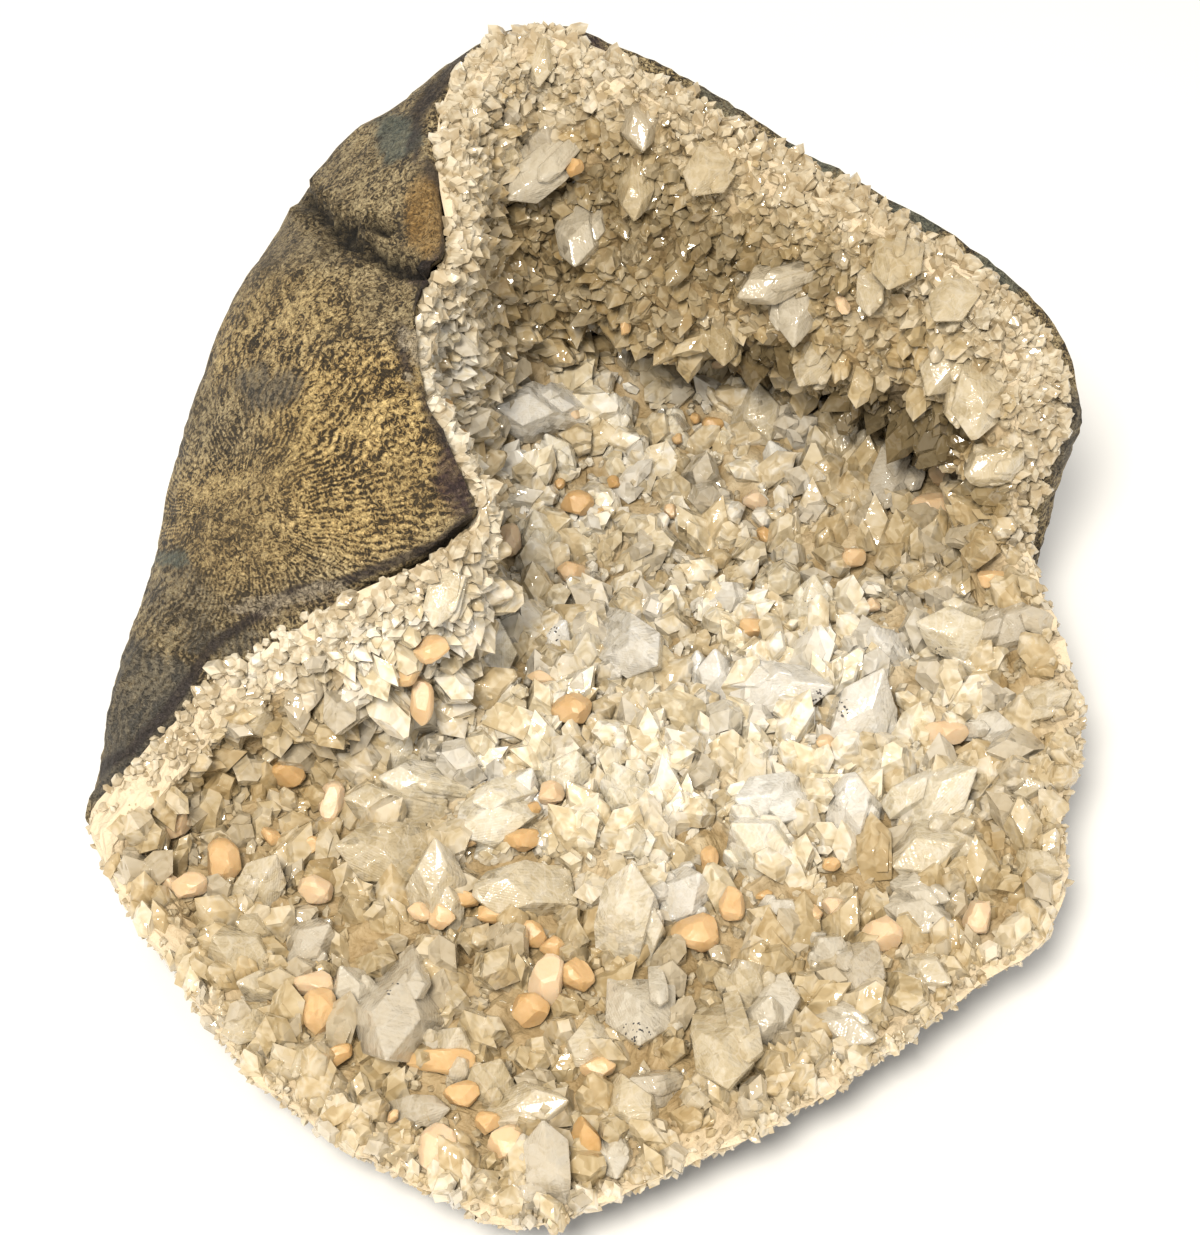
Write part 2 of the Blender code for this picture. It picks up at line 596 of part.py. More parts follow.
def main():
    for old in list(bpy.data.objects):
        bpy.data.objects.remove(old)
    parts = bpy.data.collections.new("apophyllite_geode")
    bpy.context.scene.collection.children.link(parts)
    helpers = bpy.data.collections.new("cutters")
    helpers.hide_render = True
    bpy.context.scene.collection.children.link(helpers)

    outsides, contacts, hollows = specimen_ribs()
    places = even_places([rib[0] for rib in hollows])
    outside, contact, hollow = (loops_of(ribs, places) for ribs in (outsides, contacts, hollows))
    outside = eased(outside)
    contact = kept_apart(contact, face_of(hollow), CRUST_LEAST)
    contact = kept_inside(contact, face_of(outside), RIND_LEAST)
    outside = lumpy(outside, normals_of(outside))
    hollow = druse(hollow, normals_of(hollow))
    into_hollow = normals_of(contact)

    rind = loft("basalt_rind", outside[::-1] + contact[:-1] + [contact[-1][:1]], True, False)
    parts.objects.link(rind)
    back = moved_loops(contact, into_hollow, GAP)
    crust_loops = [back[-1][:1]] + back[:-1][::-1] + hollow[:-1] + [hollow[-1][:1]]
    crust = loft("crystal_crust", crust_loops, False, False)
    parts.objects.link(crust)
    grow_crystals(face_of(hollow), helpers)
    joined(crust, "UNION", group=helpers)

    near = moved_loops(contact, into_hollow, KEEP_OUT)
    wide = moved_loops(outside[:-1], normals_of(outside)[:-1], KEEP_OUT) + outside[-1:]
    keep_out = loft("keep_out", wide[::-1] + near[:-1] + [near[-1][:1]], True, False)
    helpers.objects.link(keep_out)
    joined(crust, "DIFFERENCE", other=keep_out)
    keep_largest(crust)

    for helper in helpers.objects:
        helper.hide_render = True
        helper.display_type = "WIRE"
    for polygon in rind.data.polygons:
        polygon.use_smooth = True
    painted(rind, "basalt", (0.42, 0.33, 0.2), 0.8, 1)
    painted(crust, "apophyllite", (0.86, 0.86, 0.76), 0.2, 0.9)


main()
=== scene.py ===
"""Apophyllite geode: the looks, in the frame of its CAD.

The basalt rind is the CAD rind smoothed, swollen and wrinkled. The crust is rebuilt at full detail on the
same ribs: a chalky lining, the large apophyllites where the photograph has them, the smaller ones grown
between them, the fine druse, the stilbite balls and the dark specks inside a few crystals.
"""

import math
import random

import bmesh
import bpy
import numpy as np
from mathutils import Matrix, Vector, noise
from mathutils.bvhtree import BVHTree


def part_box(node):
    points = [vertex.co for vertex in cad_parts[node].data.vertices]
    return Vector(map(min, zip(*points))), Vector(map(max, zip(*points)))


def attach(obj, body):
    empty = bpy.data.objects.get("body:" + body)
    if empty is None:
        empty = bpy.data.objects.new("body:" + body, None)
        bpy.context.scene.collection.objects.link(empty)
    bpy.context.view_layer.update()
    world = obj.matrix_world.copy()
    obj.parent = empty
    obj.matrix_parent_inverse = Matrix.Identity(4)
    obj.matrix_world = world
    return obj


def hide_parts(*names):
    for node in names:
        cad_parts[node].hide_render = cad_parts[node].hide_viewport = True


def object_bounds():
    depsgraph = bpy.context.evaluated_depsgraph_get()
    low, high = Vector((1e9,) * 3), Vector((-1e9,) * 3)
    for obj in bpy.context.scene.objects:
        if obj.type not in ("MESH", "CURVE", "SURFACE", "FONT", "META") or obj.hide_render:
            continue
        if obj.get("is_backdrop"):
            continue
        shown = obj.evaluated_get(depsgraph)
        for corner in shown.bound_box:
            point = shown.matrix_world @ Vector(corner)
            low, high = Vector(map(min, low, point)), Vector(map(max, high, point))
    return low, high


bl_info = {
    "name": "Apophyllite geode",
    "version": (1, 0, 0),
    "blender": (4, 5, 0),
    "location": "3D View > Sidebar > Geode",
    "description": "Builds the looks of an apophyllite geode over its CAD frame",
    "category": "Add Mesh",
}

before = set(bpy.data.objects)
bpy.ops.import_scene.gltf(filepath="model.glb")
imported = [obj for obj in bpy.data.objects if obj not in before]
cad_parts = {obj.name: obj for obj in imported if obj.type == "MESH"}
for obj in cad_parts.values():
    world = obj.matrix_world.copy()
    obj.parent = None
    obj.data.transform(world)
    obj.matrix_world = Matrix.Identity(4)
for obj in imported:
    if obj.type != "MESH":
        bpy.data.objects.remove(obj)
BOUNDS_AT_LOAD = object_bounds()

MM = 0.001

# The viewer of the photograph, in millimetres and picture points
VIEW_RISE = math.radians(50)
VIEW_TARGET = Vector((0, 0, 55))
VIEW_DISTANCE = 700
MM_PER_POINT = 0.25
PICTURE_CENTRE = (600, 617.5)
TO_EYE = Vector((0, -math.cos(VIEW_RISE), math.sin(VIEW_RISE)))
VIEW_RIGHT = Vector((1, 0, 0))
VIEW_UP = Vector((0, math.sin(VIEW_RISE), math.cos(VIEW_RISE)))
EYE = VIEW_TARGET + TO_EYE * VIEW_DISTANCE

# Rind and crust, in millimetres
FLOOR_MIDDLE = Vector((10, -20, 29))
FOOT_MIDDLE = Vector((0, -12, 0))
FOOT_SHARE = 0.74
RIND_EDGE_SHARE = 0.3
CRUST_THICKNESS = 9.5
CRUST_LEAST = 5.5
RIND_LEAST = 4
GAP = 0.5

# Crystals: an apophyllite is a square prism whose four tip faces look to its corners
TIP_STEEPNESS = (1.35, 1.75)
ROOT_LENGTH = 3.5
GREATEST_LEAN = math.radians(62)
BALL_SINK = 0.15

# Steps of the lofts: round the specimen, down the outside, and along each stretch of the inside ribs
STEPS_ROUND = 48
STEPS_OUTSIDE = 7
STEPS_CONTACT = (2, 1, 1, 2, 1)
STEPS_HOLLOW = (2, 2, 2, 2, 1)
EASE_PER_LEVEL = 1
LINING_STEPS_ROUND = STEPS_ROUND * 6
LINING_STEPS = (10, 14, 12, 12, 10)

# The picture's size, the studio's lamps as (name, place, size, watts, colour) and the light all round
PICTURE_SIZE = (1200, 1235)
LAMPS = (
    ("key", (-0.16, -0.6, 1.1), 0.3, 14.3, (1, 0.94, 0.83)),
)
WORLD_LIGHT = 0.72

# The rind's marks, all in picture points: the middle of the fan of lines, the cracks with their widths,
# the swellings as (across, down, half across, half down, millimetres) and the coloured places with a strength
FAN_CENTRE = (250, 520)
CRACKS = (
    (((296, 190), (322, 214), (344, 240), (372, 252), (402, 268), (434, 272)), 13),
    (((322, 214), (352, 226), (392, 228)), 6),
    (((344, 240), (330, 262)), 5),
)
BOUNDARY = (
    (480, 28), (455, 70), (420, 110), (415, 150), (445, 200), (445, 255), (430, 280), (405, 320),
    (403, 345), (415, 385), (440, 430), (450, 470), (472, 515), (440, 545), (400, 560), (345, 582),
    (290, 592), (240, 625), (212, 645), (190, 680), (165, 715), (130, 750), (100, 765), (88, 790),
)
SWELLINGS = (
    (360, 170, 80, 70, 1.6), (300, 330, 110, 90, 1.8), (230, 470, 90, 110, 1.5), (360, 470, 100, 80, 1.8),
    (380, 300, 60, 40, -1.5), (160, 700, 50, 60, 1.2),
)
ZONES = {
    "warm": ((360, 450, 110, 120, 1), (300, 350, 90, 80, 0.6), (250, 520, 90, 70, 0.7)),
    "grey": ((270, 390, 40, 30, 0.8), (140, 710, 60, 80, 0.9), (180, 600, 50, 60, 0.5), (130, 780, 70, 40, 1),
             (1080, 430, 40, 60, 0.8), (350, 1140, 90, 40, 0.9), (230, 640, 60, 22, 0.7)),
    "green": ((402, 138, 26, 28, 1), (800, 160, 60, 26, 0.9), (900, 220, 60, 26, 0.9),
              (985, 280, 50, 26, 0.9), (180, 556, 22, 12, 0.9), (700, 110, 60, 20, 0.6)),
    "orange": ((430, 218, 22, 46, 1), (448, 500, 14, 30, 0.5)),
    "chalk": ((408, 352, 9, 36, 1), (300, 596, 90, 8, 0.7), (560, 30, 60, 12, 0.6)),
    "purple": ((456, 480, 20, 46, 1), (448, 176, 12, 14, 1), (592, 52, 22, 26, 1), (656, 86, 14, 12, 1),
               (425, 268, 24, 10, 0.9), (290, 600, 80, 12, 0.5)),
}

# Places of the lining kept free of painted shade, and places given painted shade, in picture points, the
# shaded ones with a strength
UNSHADED_PLACES = ((640, 470, 190, 130), (690, 720, 330, 200), (425, 380, 45, 190), (350, 640, 150, 60))
PAINTED_SHADE_PLACES = (
    (750, 350, 60, 26, 1), (870, 400, 70, 30, 1), (935, 430, 60, 34, 1), (1000, 490, 50, 30, 0.9),
    (640, 340, 80, 26, 0.8), (230, 850, 70, 40, 0.7), (300, 690, 60, 40, 0.5), (600, 60, 30, 40, 0.7),
    (900, 870, 30, 30, 0.7), (610, 960, 50, 30, 0.6), (620, 300, 90, 60, 0.5), (600, 250, 190, 130, 0.85),
    (860, 260, 280, 150, 0.72), (870, 330, 200, 120, 0.76), (800, 180, 320, 170, 0.9),
)

# Stilbites too small for the solids: (across, down, width, length)
SMALL_STILBITES = (
    (848, 295, 14, 20), (765, 542, 14, 22), (695, 426, 13, 13), (822, 761, 18, 20), (876, 619, 16, 16),
    (818, 634, 8, 20), (597, 325, 16, 16), (630, 315, 12, 22), (658, 329, 12, 12), (719, 370, 15, 15),
    (431, 392, 15, 15), (450, 427, 15, 25), (657, 398, 14, 14), (678, 449, 12, 12), (556, 490, 12, 12),
    (671, 522, 14, 18), (593, 524, 12, 12), (609, 490, 14, 14), (403, 650, 25, 35), (543, 690, 15, 30),
    (271, 847, 16, 22), (308, 857, 22, 30), (165, 889, 15, 30), (338, 1065, 20, 30), (533, 822, 18, 18),
    (763, 904, 8, 18), (553, 958, 20, 24), (421, 924, 20, 25), (676, 996, 10, 18), (810, 926, 22, 22),
    (830, 873, 14, 18), (489, 1132, 22, 22), (394, 1127, 10, 14), (548, 996, 20, 26),
)

# How much shade is painted on the crust away from its places kept free of it and its crevices
REST_PAINTED_SHADE = 0.7

# Clear, white and blunt ones among the large apophyllites, counted from the list's start
CLEAR = {1, 6, 22, 23, 28, 29, 30, 37, 38, 39, 41, 49, 53, 65, 68, 70, 72, 73, 78, 80, 83, 84, 85, 86}
WHITE = {0, 3, 9, 10, 24, 52, 59, 66, 70, 74, 79, 80, 81, 82, 84, 90, 91}
BLUNT = {17, 19, 28, 34, 36, 43, 62, 67, 69, 74, 78, 82, 89, 92}

# Dark specks as (across, down, spread, how many)
SPECKS = (
    (812, 700, 13, 26), (846, 708, 9, 16), (634, 1040, 18, 44), (940, 652, 8, 12), (550, 634, 10, 14),
    (812, 604, 8, 8), (599, 1078, 8, 10), (936, 931, 9, 8), (394, 990, 8, 6), (485, 640, 12, 8),
)

# The rind's coloured places, each with a strength
PATCH_COLOURS = {
    "grey": ((0.1, 0.098, 0.09), 0.75),
    "green": ((0.13, 0.155, 0.13), 0.8),
    "orange": ((0.34, 0.19, 0.05), 0.7),
    "seam": ((0.04, 0.03, 0.03), 0.85),
    "purple": ((0.05, 0.025, 0.033), 0.7),
    "chalk": ((0.5, 0.42, 0.3), 0.85),
}

# Each kind of crystal: its deep, pale and white colours, the share that lets light through, the
# roughness, how densely its inside absorbs light, and whether it has veins, stripes and a coat
CRYSTAL_LOOKS = {
    "large_clear": ((0.84, 0.77, 0.64), (0.95, 0.9, 0.81), (1, 0.98, 0.94), 0.25, 0.05, 5, True),
    "large_white": ((0.8, 0.76, 0.68), (0.92, 0.89, 0.82), (1, 0.99, 0.96), 0.15, 0.06, 0, True),
    "large_milky": ((0.7, 0.6, 0.41), (0.86, 0.78, 0.61), (0.99, 0.95, 0.87), 0.12, 0.08, 0, True),
    "small_milky": ((0.66, 0.55, 0.36), (0.85, 0.76, 0.58), (0.99, 0.95, 0.87), 0, 0.08, 0, False),
    "small_clear": ((0.8, 0.72, 0.57), (0.93, 0.87, 0.76), (0.99, 0.95, 0.87), 0.2, 0.05, 0, False),
    "small_roof": ((0.56, 0.47, 0.33), (0.78, 0.71, 0.57), (0.99, 0.95, 0.87), 0, 0.1, 0, False),
    "small_cream": ((0.64, 0.51, 0.31), (0.83, 0.72, 0.52), (0.99, 0.95, 0.87), 0, 0.1, 0, False),
    "druse": ((0.57, 0.47, 0.32), (0.79, 0.72, 0.58), (0.99, 0.95, 0.87), 0, 0.1, 0, False),
}
ABSORBED = (0.98, 0.95, 0.87)
BEVEL_WIDTH = 0.0005
BEVEL_ANGLE = math.radians(20)

# Each rib: the rind's edge, the crust's edge and, where a ledge of crust hangs over a crevice, the
# ledge's lower edge, all as (across, down, height). Then how far the outside swells past the edge, the
# height of that belly, how steeply the outside leaves the edge in degrees, and how far the hollow runs
# back under the edge (below zero, it slopes in to the floor).
RIBS = {
    "front_corner": ((520, 1218, 15), (524, 1227, 28), None, -3, 9, 80, -24),
    "front_right_1": ((640, 1174, 15), (646, 1181, 28), None, -3, 9, 80, -24),
    "front_right_2": ((800, 1096, 16), (812, 1101, 28), None, -3, 10, 80, -24),
    "front_right_3": ((962, 980, 18), (985, 979, 30), None, -3, 11, 80, -22),
    "right_corner": ((1036, 906, 20), (1063, 911, 33), None, -3, 12, 80, -20),
    "right_low": ((1036, 822, 22), (1058, 822, 36), None, 0, 14, 80, -18),
    "right_bump": ((1058, 725, 26), (1083, 726, 40), None, 0, 16, 80, -22),
    "right_notch": ((1018, 578, 36), (1036, 578, 50), None, 2, 26, 80, -18),
    "right_under": ((1040, 508, 56), (1010, 515, 60), None, 3, 34, 80, -12),
    "shoulder": ((1091, 400, 82), (1016, 414, 86), (995, 492, 66), 0, 46, 80, -6),
    "shoulder_top": ((1052, 314, 104), (1004, 345, 104), (958, 452, 66), 4, 54, 75, 8),
    "back_right": ((962, 241, 116), (935, 270, 116), (884, 400, 68), 25, 55, 60, 18),
    "back_mid": ((800, 147, 130), (780, 178, 131), (752, 352, 72), 34, 60, 58, 24),
    "back_left": ((640, 56, 142), (625, 86, 143), (640, 318, 80), 24, 65, 58, 12),
    "top": ((516, 14, 148), (523, 46, 149), None, 22, 70, 52, -14),
    "top_left": ((452, 66, 149), (478, 92, 148), None, 38, 74, 40, -10),
    "hood_1": ((418, 140, 148), (462, 160, 144), None, 52, 72, 20, -2),
    "hood_2": ((442, 215, 145), (470, 225, 138), None, 74, 66, 8, 4),
    "hood_3": ((432, 278, 140), (448, 285, 130), None, 79, 60, 5, 10),
    "hood_4": ((402, 335, 133), (412, 345, 122), None, 76, 55, 5, 16),
    "hood_5": ((432, 425, 123), (440, 420, 110), None, 78, 50, 5, 22),
    "nose": ((472, 518, 108), (488, 535, 98), None, 85, 45, 5, 6),
    "lip_1": ((345, 581, 92), (365, 625, 82), None, 57, 40, 8, 16),
    "lip_2": ((213, 645, 70), (250, 700, 60), None, 32, 34, 20, 14),
    "lip_3": ((125, 750, 54), (165, 790, 50), None, 12, 34, 60, 2),
    "left_corner": ((83, 786, 44), (114, 828, 44), None, 3, 30, 80, -14),
    "left_low": ((94, 866, 34), (112, 882, 38), None, 0, 22, 80, -18),
    "front_left_1": ((152, 928, 24), (158, 938, 34), None, -3, 14, 80, -22),
    "front_left_2": ((240, 1050, 18), (238, 1060, 30), None, -6, 10, 80, -22),
    "front_left_3": ((342, 1132, 16), (356, 1149, 28), None, -7, 9, 80, -24),
    "front_left_4": ((448, 1186, 15), (448, 1198, 28), None, -6, 9, 80, -24),
}

# Apophyllites as (across, down, width, length, heading, lean): where the middle is seen, the size in
# picture points, where the tip points in the picture, anticlockwise from the right, and how far it
# leans to the viewer, both in degrees.
APOPHYLLITES = (
    (536, 176, 48, 84, 225, 30), (543, 139, 38, 50, 100, 40), (635, 192, 32, 60, 268, 15),
    (578, 242, 40, 64, 262, 35), (540, 69, 24, 40, 265, 20), (497, 153, 36, 50, 150, 40),
    (640, 133, 30, 44, 280, 30), (704, 176, 44, 54, 240, 35), (723, 347, 36, 50, 270, 30),
    (768, 284, 36, 78, 205, 20), (794, 319, 38, 66, 268, 20), (812, 367, 40, 52, 235, 35),
    (870, 295, 28, 50, 265, 25), (894, 270, 44, 50, 250, 40),
    (945, 309, 42, 50, 225, 40), (1044, 352, 48, 56, 320, 30), (937, 377, 48, 54, 240, 30),
    (975, 412, 52, 72, 262, 30), (1019, 419, 38, 44, 290, 60), (983, 468, 44, 52, 215, 30),
    (757, 402, 56, 60, 100, 40), (848, 427, 44, 54, 80, 40), (889, 489, 60, 70, 250, 45),
    (817, 484, 24, 52, 92, 20), (775, 453, 34, 40, 120, 40), (908, 425, 38, 46, 110, 40),
    (812, 603, 38, 56, 88, 30), (950, 632, 56, 86, 165, 25), (1019, 621, 46, 58, 30, 35),
    (879, 643, 44, 52, 120, 45), (528, 412, 52, 110, 188, 18), (612, 412, 48, 54, 80, 50),
    (553, 448, 38, 48, 120, 45), (671, 425, 36, 44, 90, 65), (501, 379, 34, 44, 150, 35),
    (538, 530, 40, 50, 100, 40), (490, 639, 62, 76, 70, 50), (558, 634, 36, 46, 60, 40),
    (635, 650, 58, 108, 302, 28), (714, 670, 36, 54, 88, 30), (440, 603, 30, 54, 255, 15),
    (399, 593, 30, 40, 200, 20), (256, 715, 36, 52, 75, 25), (399, 748, 36, 44, 60, 30),
    (425, 784, 36, 92, 178, 18), (386, 806, 40, 92, 172, 20),
    (110, 812, 36, 58, 110, 25), (264, 878, 44, 54, 60, 35), (228, 947, 56, 62, 130, 55),
    (317, 937, 42, 52, 45, 45), (437, 875, 44, 86, 92, 25), (371, 853, 60, 88, 165, 35),
    (350, 986, 36, 56, 110, 35), (394, 1025, 66, 132, 266, 25), (455, 1044, 46, 50, 75, 50),
    (256, 986, 34, 44, 160, 45), (243, 1029, 30, 44, 200, 30), (304, 1065, 34, 44, 240, 35),
    (487, 822, 62, 82, 205, 40), (520, 789, 38, 52, 60, 35), (571, 766, 46, 56, 70, 50),
    (620, 779, 46, 54, 110, 45), (510, 894, 54, 94, 178, 25), (628, 904, 52, 104, 85, 32),
    (752, 840, 60, 76, 140, 45), (689, 889, 54, 64, 60, 50), (640, 1026, 66, 74, 265, 62),
    (587, 1050, 40, 50, 240, 55), (638, 1092, 34, 60, 200, 30), (724, 1057, 54, 112, 272, 25),
    (765, 1019, 34, 52, 80, 35), (745, 975, 48, 54, 100, 50), (789, 692, 56, 96, 2, 22),
    (866, 704, 56, 92, 66, 28), (1001, 731, 44, 48, 20, 60), (948, 790, 54, 84, 42, 32),
    (925, 856, 54, 92, 204, 30), (970, 849, 46, 52, 30, 60), (853, 799, 46, 74, 96, 30),
    (759, 802, 56, 72, 170, 45), (930, 919, 48, 66, 325, 30), (784, 912, 36, 44, 60, 50),
    (827, 950, 38, 46, 120, 55), (858, 981, 52, 62, 265, 45), (779, 1014, 50, 54, 280, 60),
    (427, 1112, 30, 50, 12, 25), (547, 1155, 44, 78, 95, 30), (535, 1109, 42, 76, 20, 30),
    (494, 1076, 44, 52, 70, 45), (637, 1117, 48, 58, 300, 40), (614, 1165, 32, 44, 275, 25),
    (853, 1032, 40, 56, 330, 30), (1032, 787, 34, 42, 0, 40),
    (1045, 870, 34, 42, 340, 40), (1052, 700, 34, 46, 20, 30), (930, 975, 34, 46, 330, 35),
)

# Stilbite balls as (across, down, width, length, heading)
STILBITES = (
    (583, 157, 20, 22, 90), (945, 478, 28, 28, 0), (979, 502, 26, 35, 30),
    (938, 517, 28, 44, 0), (853, 567, 25, 30, 0), (756, 509, 22, 26, 0),
    (713, 434, 20, 22, 0), (998, 574, 20, 30, 0), (752, 639, 22, 32, 0), (422, 328, 25, 31, 0),
    (648, 348, 22, 33, 10), (686, 357, 19, 22, 0), (560, 420, 21, 24, 0), (604, 429, 22, 33, 0),
    (570, 517, 28, 34, 0), (505, 549, 28, 33, 90), (571, 582, 27, 32, 0),
    (421, 624, 25, 37, 20), (413, 674, 24, 50, 92), (285, 784, 31, 38, 0), (331, 815, 28, 40, 70),
    (170, 833, 34, 40, 20), (223, 876, 34, 42, 100), (187, 901, 25, 36, 0), (316, 903, 26, 38, 0),
    (315, 996, 26, 38, 0), (320, 1026, 34, 44, 90), (442, 927, 25, 28, 0), (465, 848, 24, 32, 0),
    (442, 1075, 26, 60, 0), (576, 725, 31, 42, 0), (551, 805, 24, 26, 0), (523, 850, 26, 38, 0),
    (696, 945, 36, 44, 0), (732, 922, 24, 34, 90), (548, 996, 34, 48, 80), (576, 988, 28, 38, 130),
    (530, 1021, 30, 36, 0), (530, 945, 28, 32, 0), (495, 927, 18, 37, 0), (464, 912, 20, 32, 0),
    (708, 868, 18, 28, 90), (599, 1078, 21, 32, 0), (850, 738, 32, 36, 0),
    (946, 746, 28, 44, 0), (881, 945, 33, 38, 0), (978, 930, 28, 36, 70), (833, 917, 18, 22, 0),
    (463, 1107, 26, 32, 0), (439, 1158, 36, 44, 90), (508, 1155, 32, 38, 0), (586, 1153, 28, 46, 100),
)


def seen_at(across, down, height):
    """The point of that height that the viewer sees at a place in the picture."""
    ray = (
        VIEW_RIGHT * (across - PICTURE_CENTRE[0]) * MM_PER_POINT
        + VIEW_UP * (PICTURE_CENTRE[1] - down) * MM_PER_POINT
        - TO_EYE * VIEW_DISTANCE
    )
    return EYE + ray * ((height - EYE.z) / ray.z)


def between(points, along, closed):
    """A smooth curve through the points, read at a share counted in points."""
    count = len(points)
    first = math.floor(along)
    share = along - first

    def point(step):
        index = first + step
        return points[index % count] if closed else points[min(max(index, 0), count - 1)]

    before, start, end, after = (point(step) for step in (-1, 0, 1, 2))
    return 0.5 * (
        2 * start
        + (end - before) * share
        + (2 * before - 5 * start + 4 * end - after) * share**2
        + (3 * start - before - 3 * end + after) * share**3
    )


def spaced(curve, steps):
    """The same curve as steps + 1 points at even distances along it."""
    lengths = [0.0]
    for here, there in zip(curve, curve[1:]):
        lengths.append(lengths[-1] + (there - here).length)
    points, index = [], 0
    for step in range(steps + 1):
        wanted = lengths[-1] * step / steps
        while index < len(curve) - 2 and lengths[index + 1] < wanted:
            index += 1
        stretch = lengths[index + 1] - lengths[index]
        points.append(curve[index].lerp(curve[index + 1], (wanted - lengths[index]) / stretch))
    return points


def arc(start, leave, end, arrive, reach=0.56, steps=12):
    """A curve from start to end that leaves and arrives along two directions."""
    handle = (end - start).length * reach
    points = [start, start + leave * handle, end - arrive * handle, end]
    curve = []
    for step in range(steps + 1):
        t = step / steps
        weights = ((1 - t) ** 3, 3 * t * (1 - t) ** 2, 3 * t * t * (1 - t), t**3)
        curve.append(sum((point * weight for point, weight in zip(points, weights)), Vector()))
    return curve


def outward(point, middle):
    """The level direction from a middle to a point."""
    away = point - middle
    away.z = 0
    return away.normalized()


def outside_rib(edge, swell, belly_height, steepness):
    """The rind's outside, from its broken edge over the belly to the flat foot."""
    away = outward(edge, FLOOR_MIDDLE)
    fall = math.radians(steepness)
    belly = edge + away * swell
    belly.z = belly_height
    foot = FOOT_MIDDLE + (belly - FOOT_MIDDLE) * FOOT_SHARE
    foot.z = 0
    down = Vector((0, 0, -1))
    inwards = (foot - belly).normalized()
    leave = away * math.cos(fall) + down * math.sin(fall)
    upper = arc(edge, leave, belly, down)
    lower = arc(belly, down, foot, inwards, reach=0.4)
    return spaced(upper + lower[1:], STEPS_OUTSIDE)


def hollow_points(edge, ledge, undercut):
    """The wall and floor on one rib: edge, upper wall, ledge, corner, floor and its middle."""
    away = outward(edge, FLOOR_MIDDLE)
    drop = edge.z - FLOOR_MIDDLE.z
    wall = edge + away * undercut * 0.5 - Vector((0, 0, drop * 0.3))
    lower_wall = edge + away * undercut * 0.85 - Vector((0, 0, drop * 0.62))
    corner = edge + away * undercut
    corner.z = FLOOR_MIDDLE.z + drop * 0.16
    if ledge:
        corner = corner + away * 3
        wall = edge.lerp(ledge, 0.45) - away * 2
    floor = corner.lerp(FLOOR_MIDDLE, 0.42)
    floor.z = FLOOR_MIDDLE.z - 1.5
    return [edge, wall, ledge or lower_wall, corner, floor, FLOOR_MIDDLE.copy()]


def contact_points(edge, undercut):
    """The face that rind and crust share on one rib, behind the crust's wall and floor."""
    plain = hollow_points(edge, None, undercut)
    return behind(plain, outward(edge, FLOOR_MIDDLE), CRUST_THICKNESS)


def behind(points, away, thickness):
    """The points of a rib moved out of the hollow, square to the rib."""
    moved = []
    for index, point in enumerate(points):
        before = points[max(index - 1, 0)]
        after = points[min(index + 1, len(points) - 1)]
        along = after - before
        level, rise = along.dot(away), along.z
        square = (away * -rise + Vector((0, 0, level))).normalized()
        moved.append(point + square * thickness)
    moved[-1] = points[-1] - Vector((0, 0, thickness))
    return moved


def smooth_rib(points, steps):
    """Points along the smooth curve through a rib's own points, so many to each stretch."""
    curve = []
    for index, count in enumerate(steps):
        curve += [between(points, index + step / count, False) for step in range(count)]
    return curve + [points[-1]]


def specimen_ribs(steps_hollow):
    """For every rib the outside, the contact of rind and crust, and the hollow's own face."""
    outsides, contacts, hollows = [], [], []
    for rind_edge, crust_edge, ledge, swell, belly_height, steepness, undercut in RIBS.values():
        rind, crust = seen_at(*rind_edge), seen_at(*crust_edge)
        outsides.append(outside_rib(rind, swell, belly_height, steepness))
        back = contact_points(crust, undercut)
        back[0] = rind.lerp(crust, RIND_EDGE_SHARE)
        contacts.append(smooth_rib(back, STEPS_CONTACT))
        hollows.append(smooth_rib(hollow_points(crust, ledge and seen_at(*ledge), undercut), steps_hollow))
    return outsides, contacts, hollows


def even_places(edges, steps_round):
    """Where to read the ribs so that the steps round the broken edge are even."""
    count, fine = len(edges), 20
    curve = [between(edges, step / fine, True) for step in range(count * fine + 1)]
    lengths = [0.0]
    for here, there in zip(curve, curve[1:]):
        lengths.append(lengths[-1] + (there - here).length)
    places, index = [], 0
    for step in range(steps_round):
        wanted = lengths[-1] * step / steps_round
        while lengths[index + 1] < wanted:
            index += 1
        share = (wanted - lengths[index]) / (lengths[index + 1] - lengths[index])
        places.append((index + share) / fine)
    return places


def loops_of(ribs, places):
    """The closed loops across the ribs, from the edge down."""
    levels = len(ribs[0])
    return [[between([rib[level] for rib in ribs], place, True) for place in places]
            for level in range(levels)]


def normals_of(loops):
    """The direction square to a lofted face at each of its points, to its left going down the ribs."""
    squares = []
    for level, loop in enumerate(loops):
        above, below = loops[max(level - 1, 0)], loops[min(level + 1, len(loops) - 1)]
        count = len(loop)
        squares.append([(loop[(i + 1) % count] - loop[i - 1]).cross(below[i] - above[i]).normalized()
                        for i in range(count)])
    return squares


def moved_loops(loops, squares, distance):
    return [[point + square * distance for point, square in zip(loop, row)]
            for loop, row in zip(loops, squares)]


def eased(loops):
    """The outside with the steps between ribs evened out, more so the further it is from the edge."""
    eased_loops = []
    for level, loop in enumerate(loops):
        for _ in range(level * EASE_PER_LEVEL):
            loop = [point * 0.5 + (loop[index - 1] + loop[(index + 1) % len(loop)]) * 0.25
                    for index, point in enumerate(loop)]
        eased_loops.append(loop)
    return eased_loops


def face_of(loops):
    """The lofted face through closed loops, for casting rays and finding the nearest place."""
    count = len(loops[0])
    corners = [point for loop in loops for point in loop]
    faces = []
    for upper in range(0, len(corners) - count, count):
        for index in range(count):
            after = (index + 1) % count
            faces.append((upper + index, upper + after, upper + count + after, upper + count + index))
    return BVHTree.FromPolygons(corners, faces)


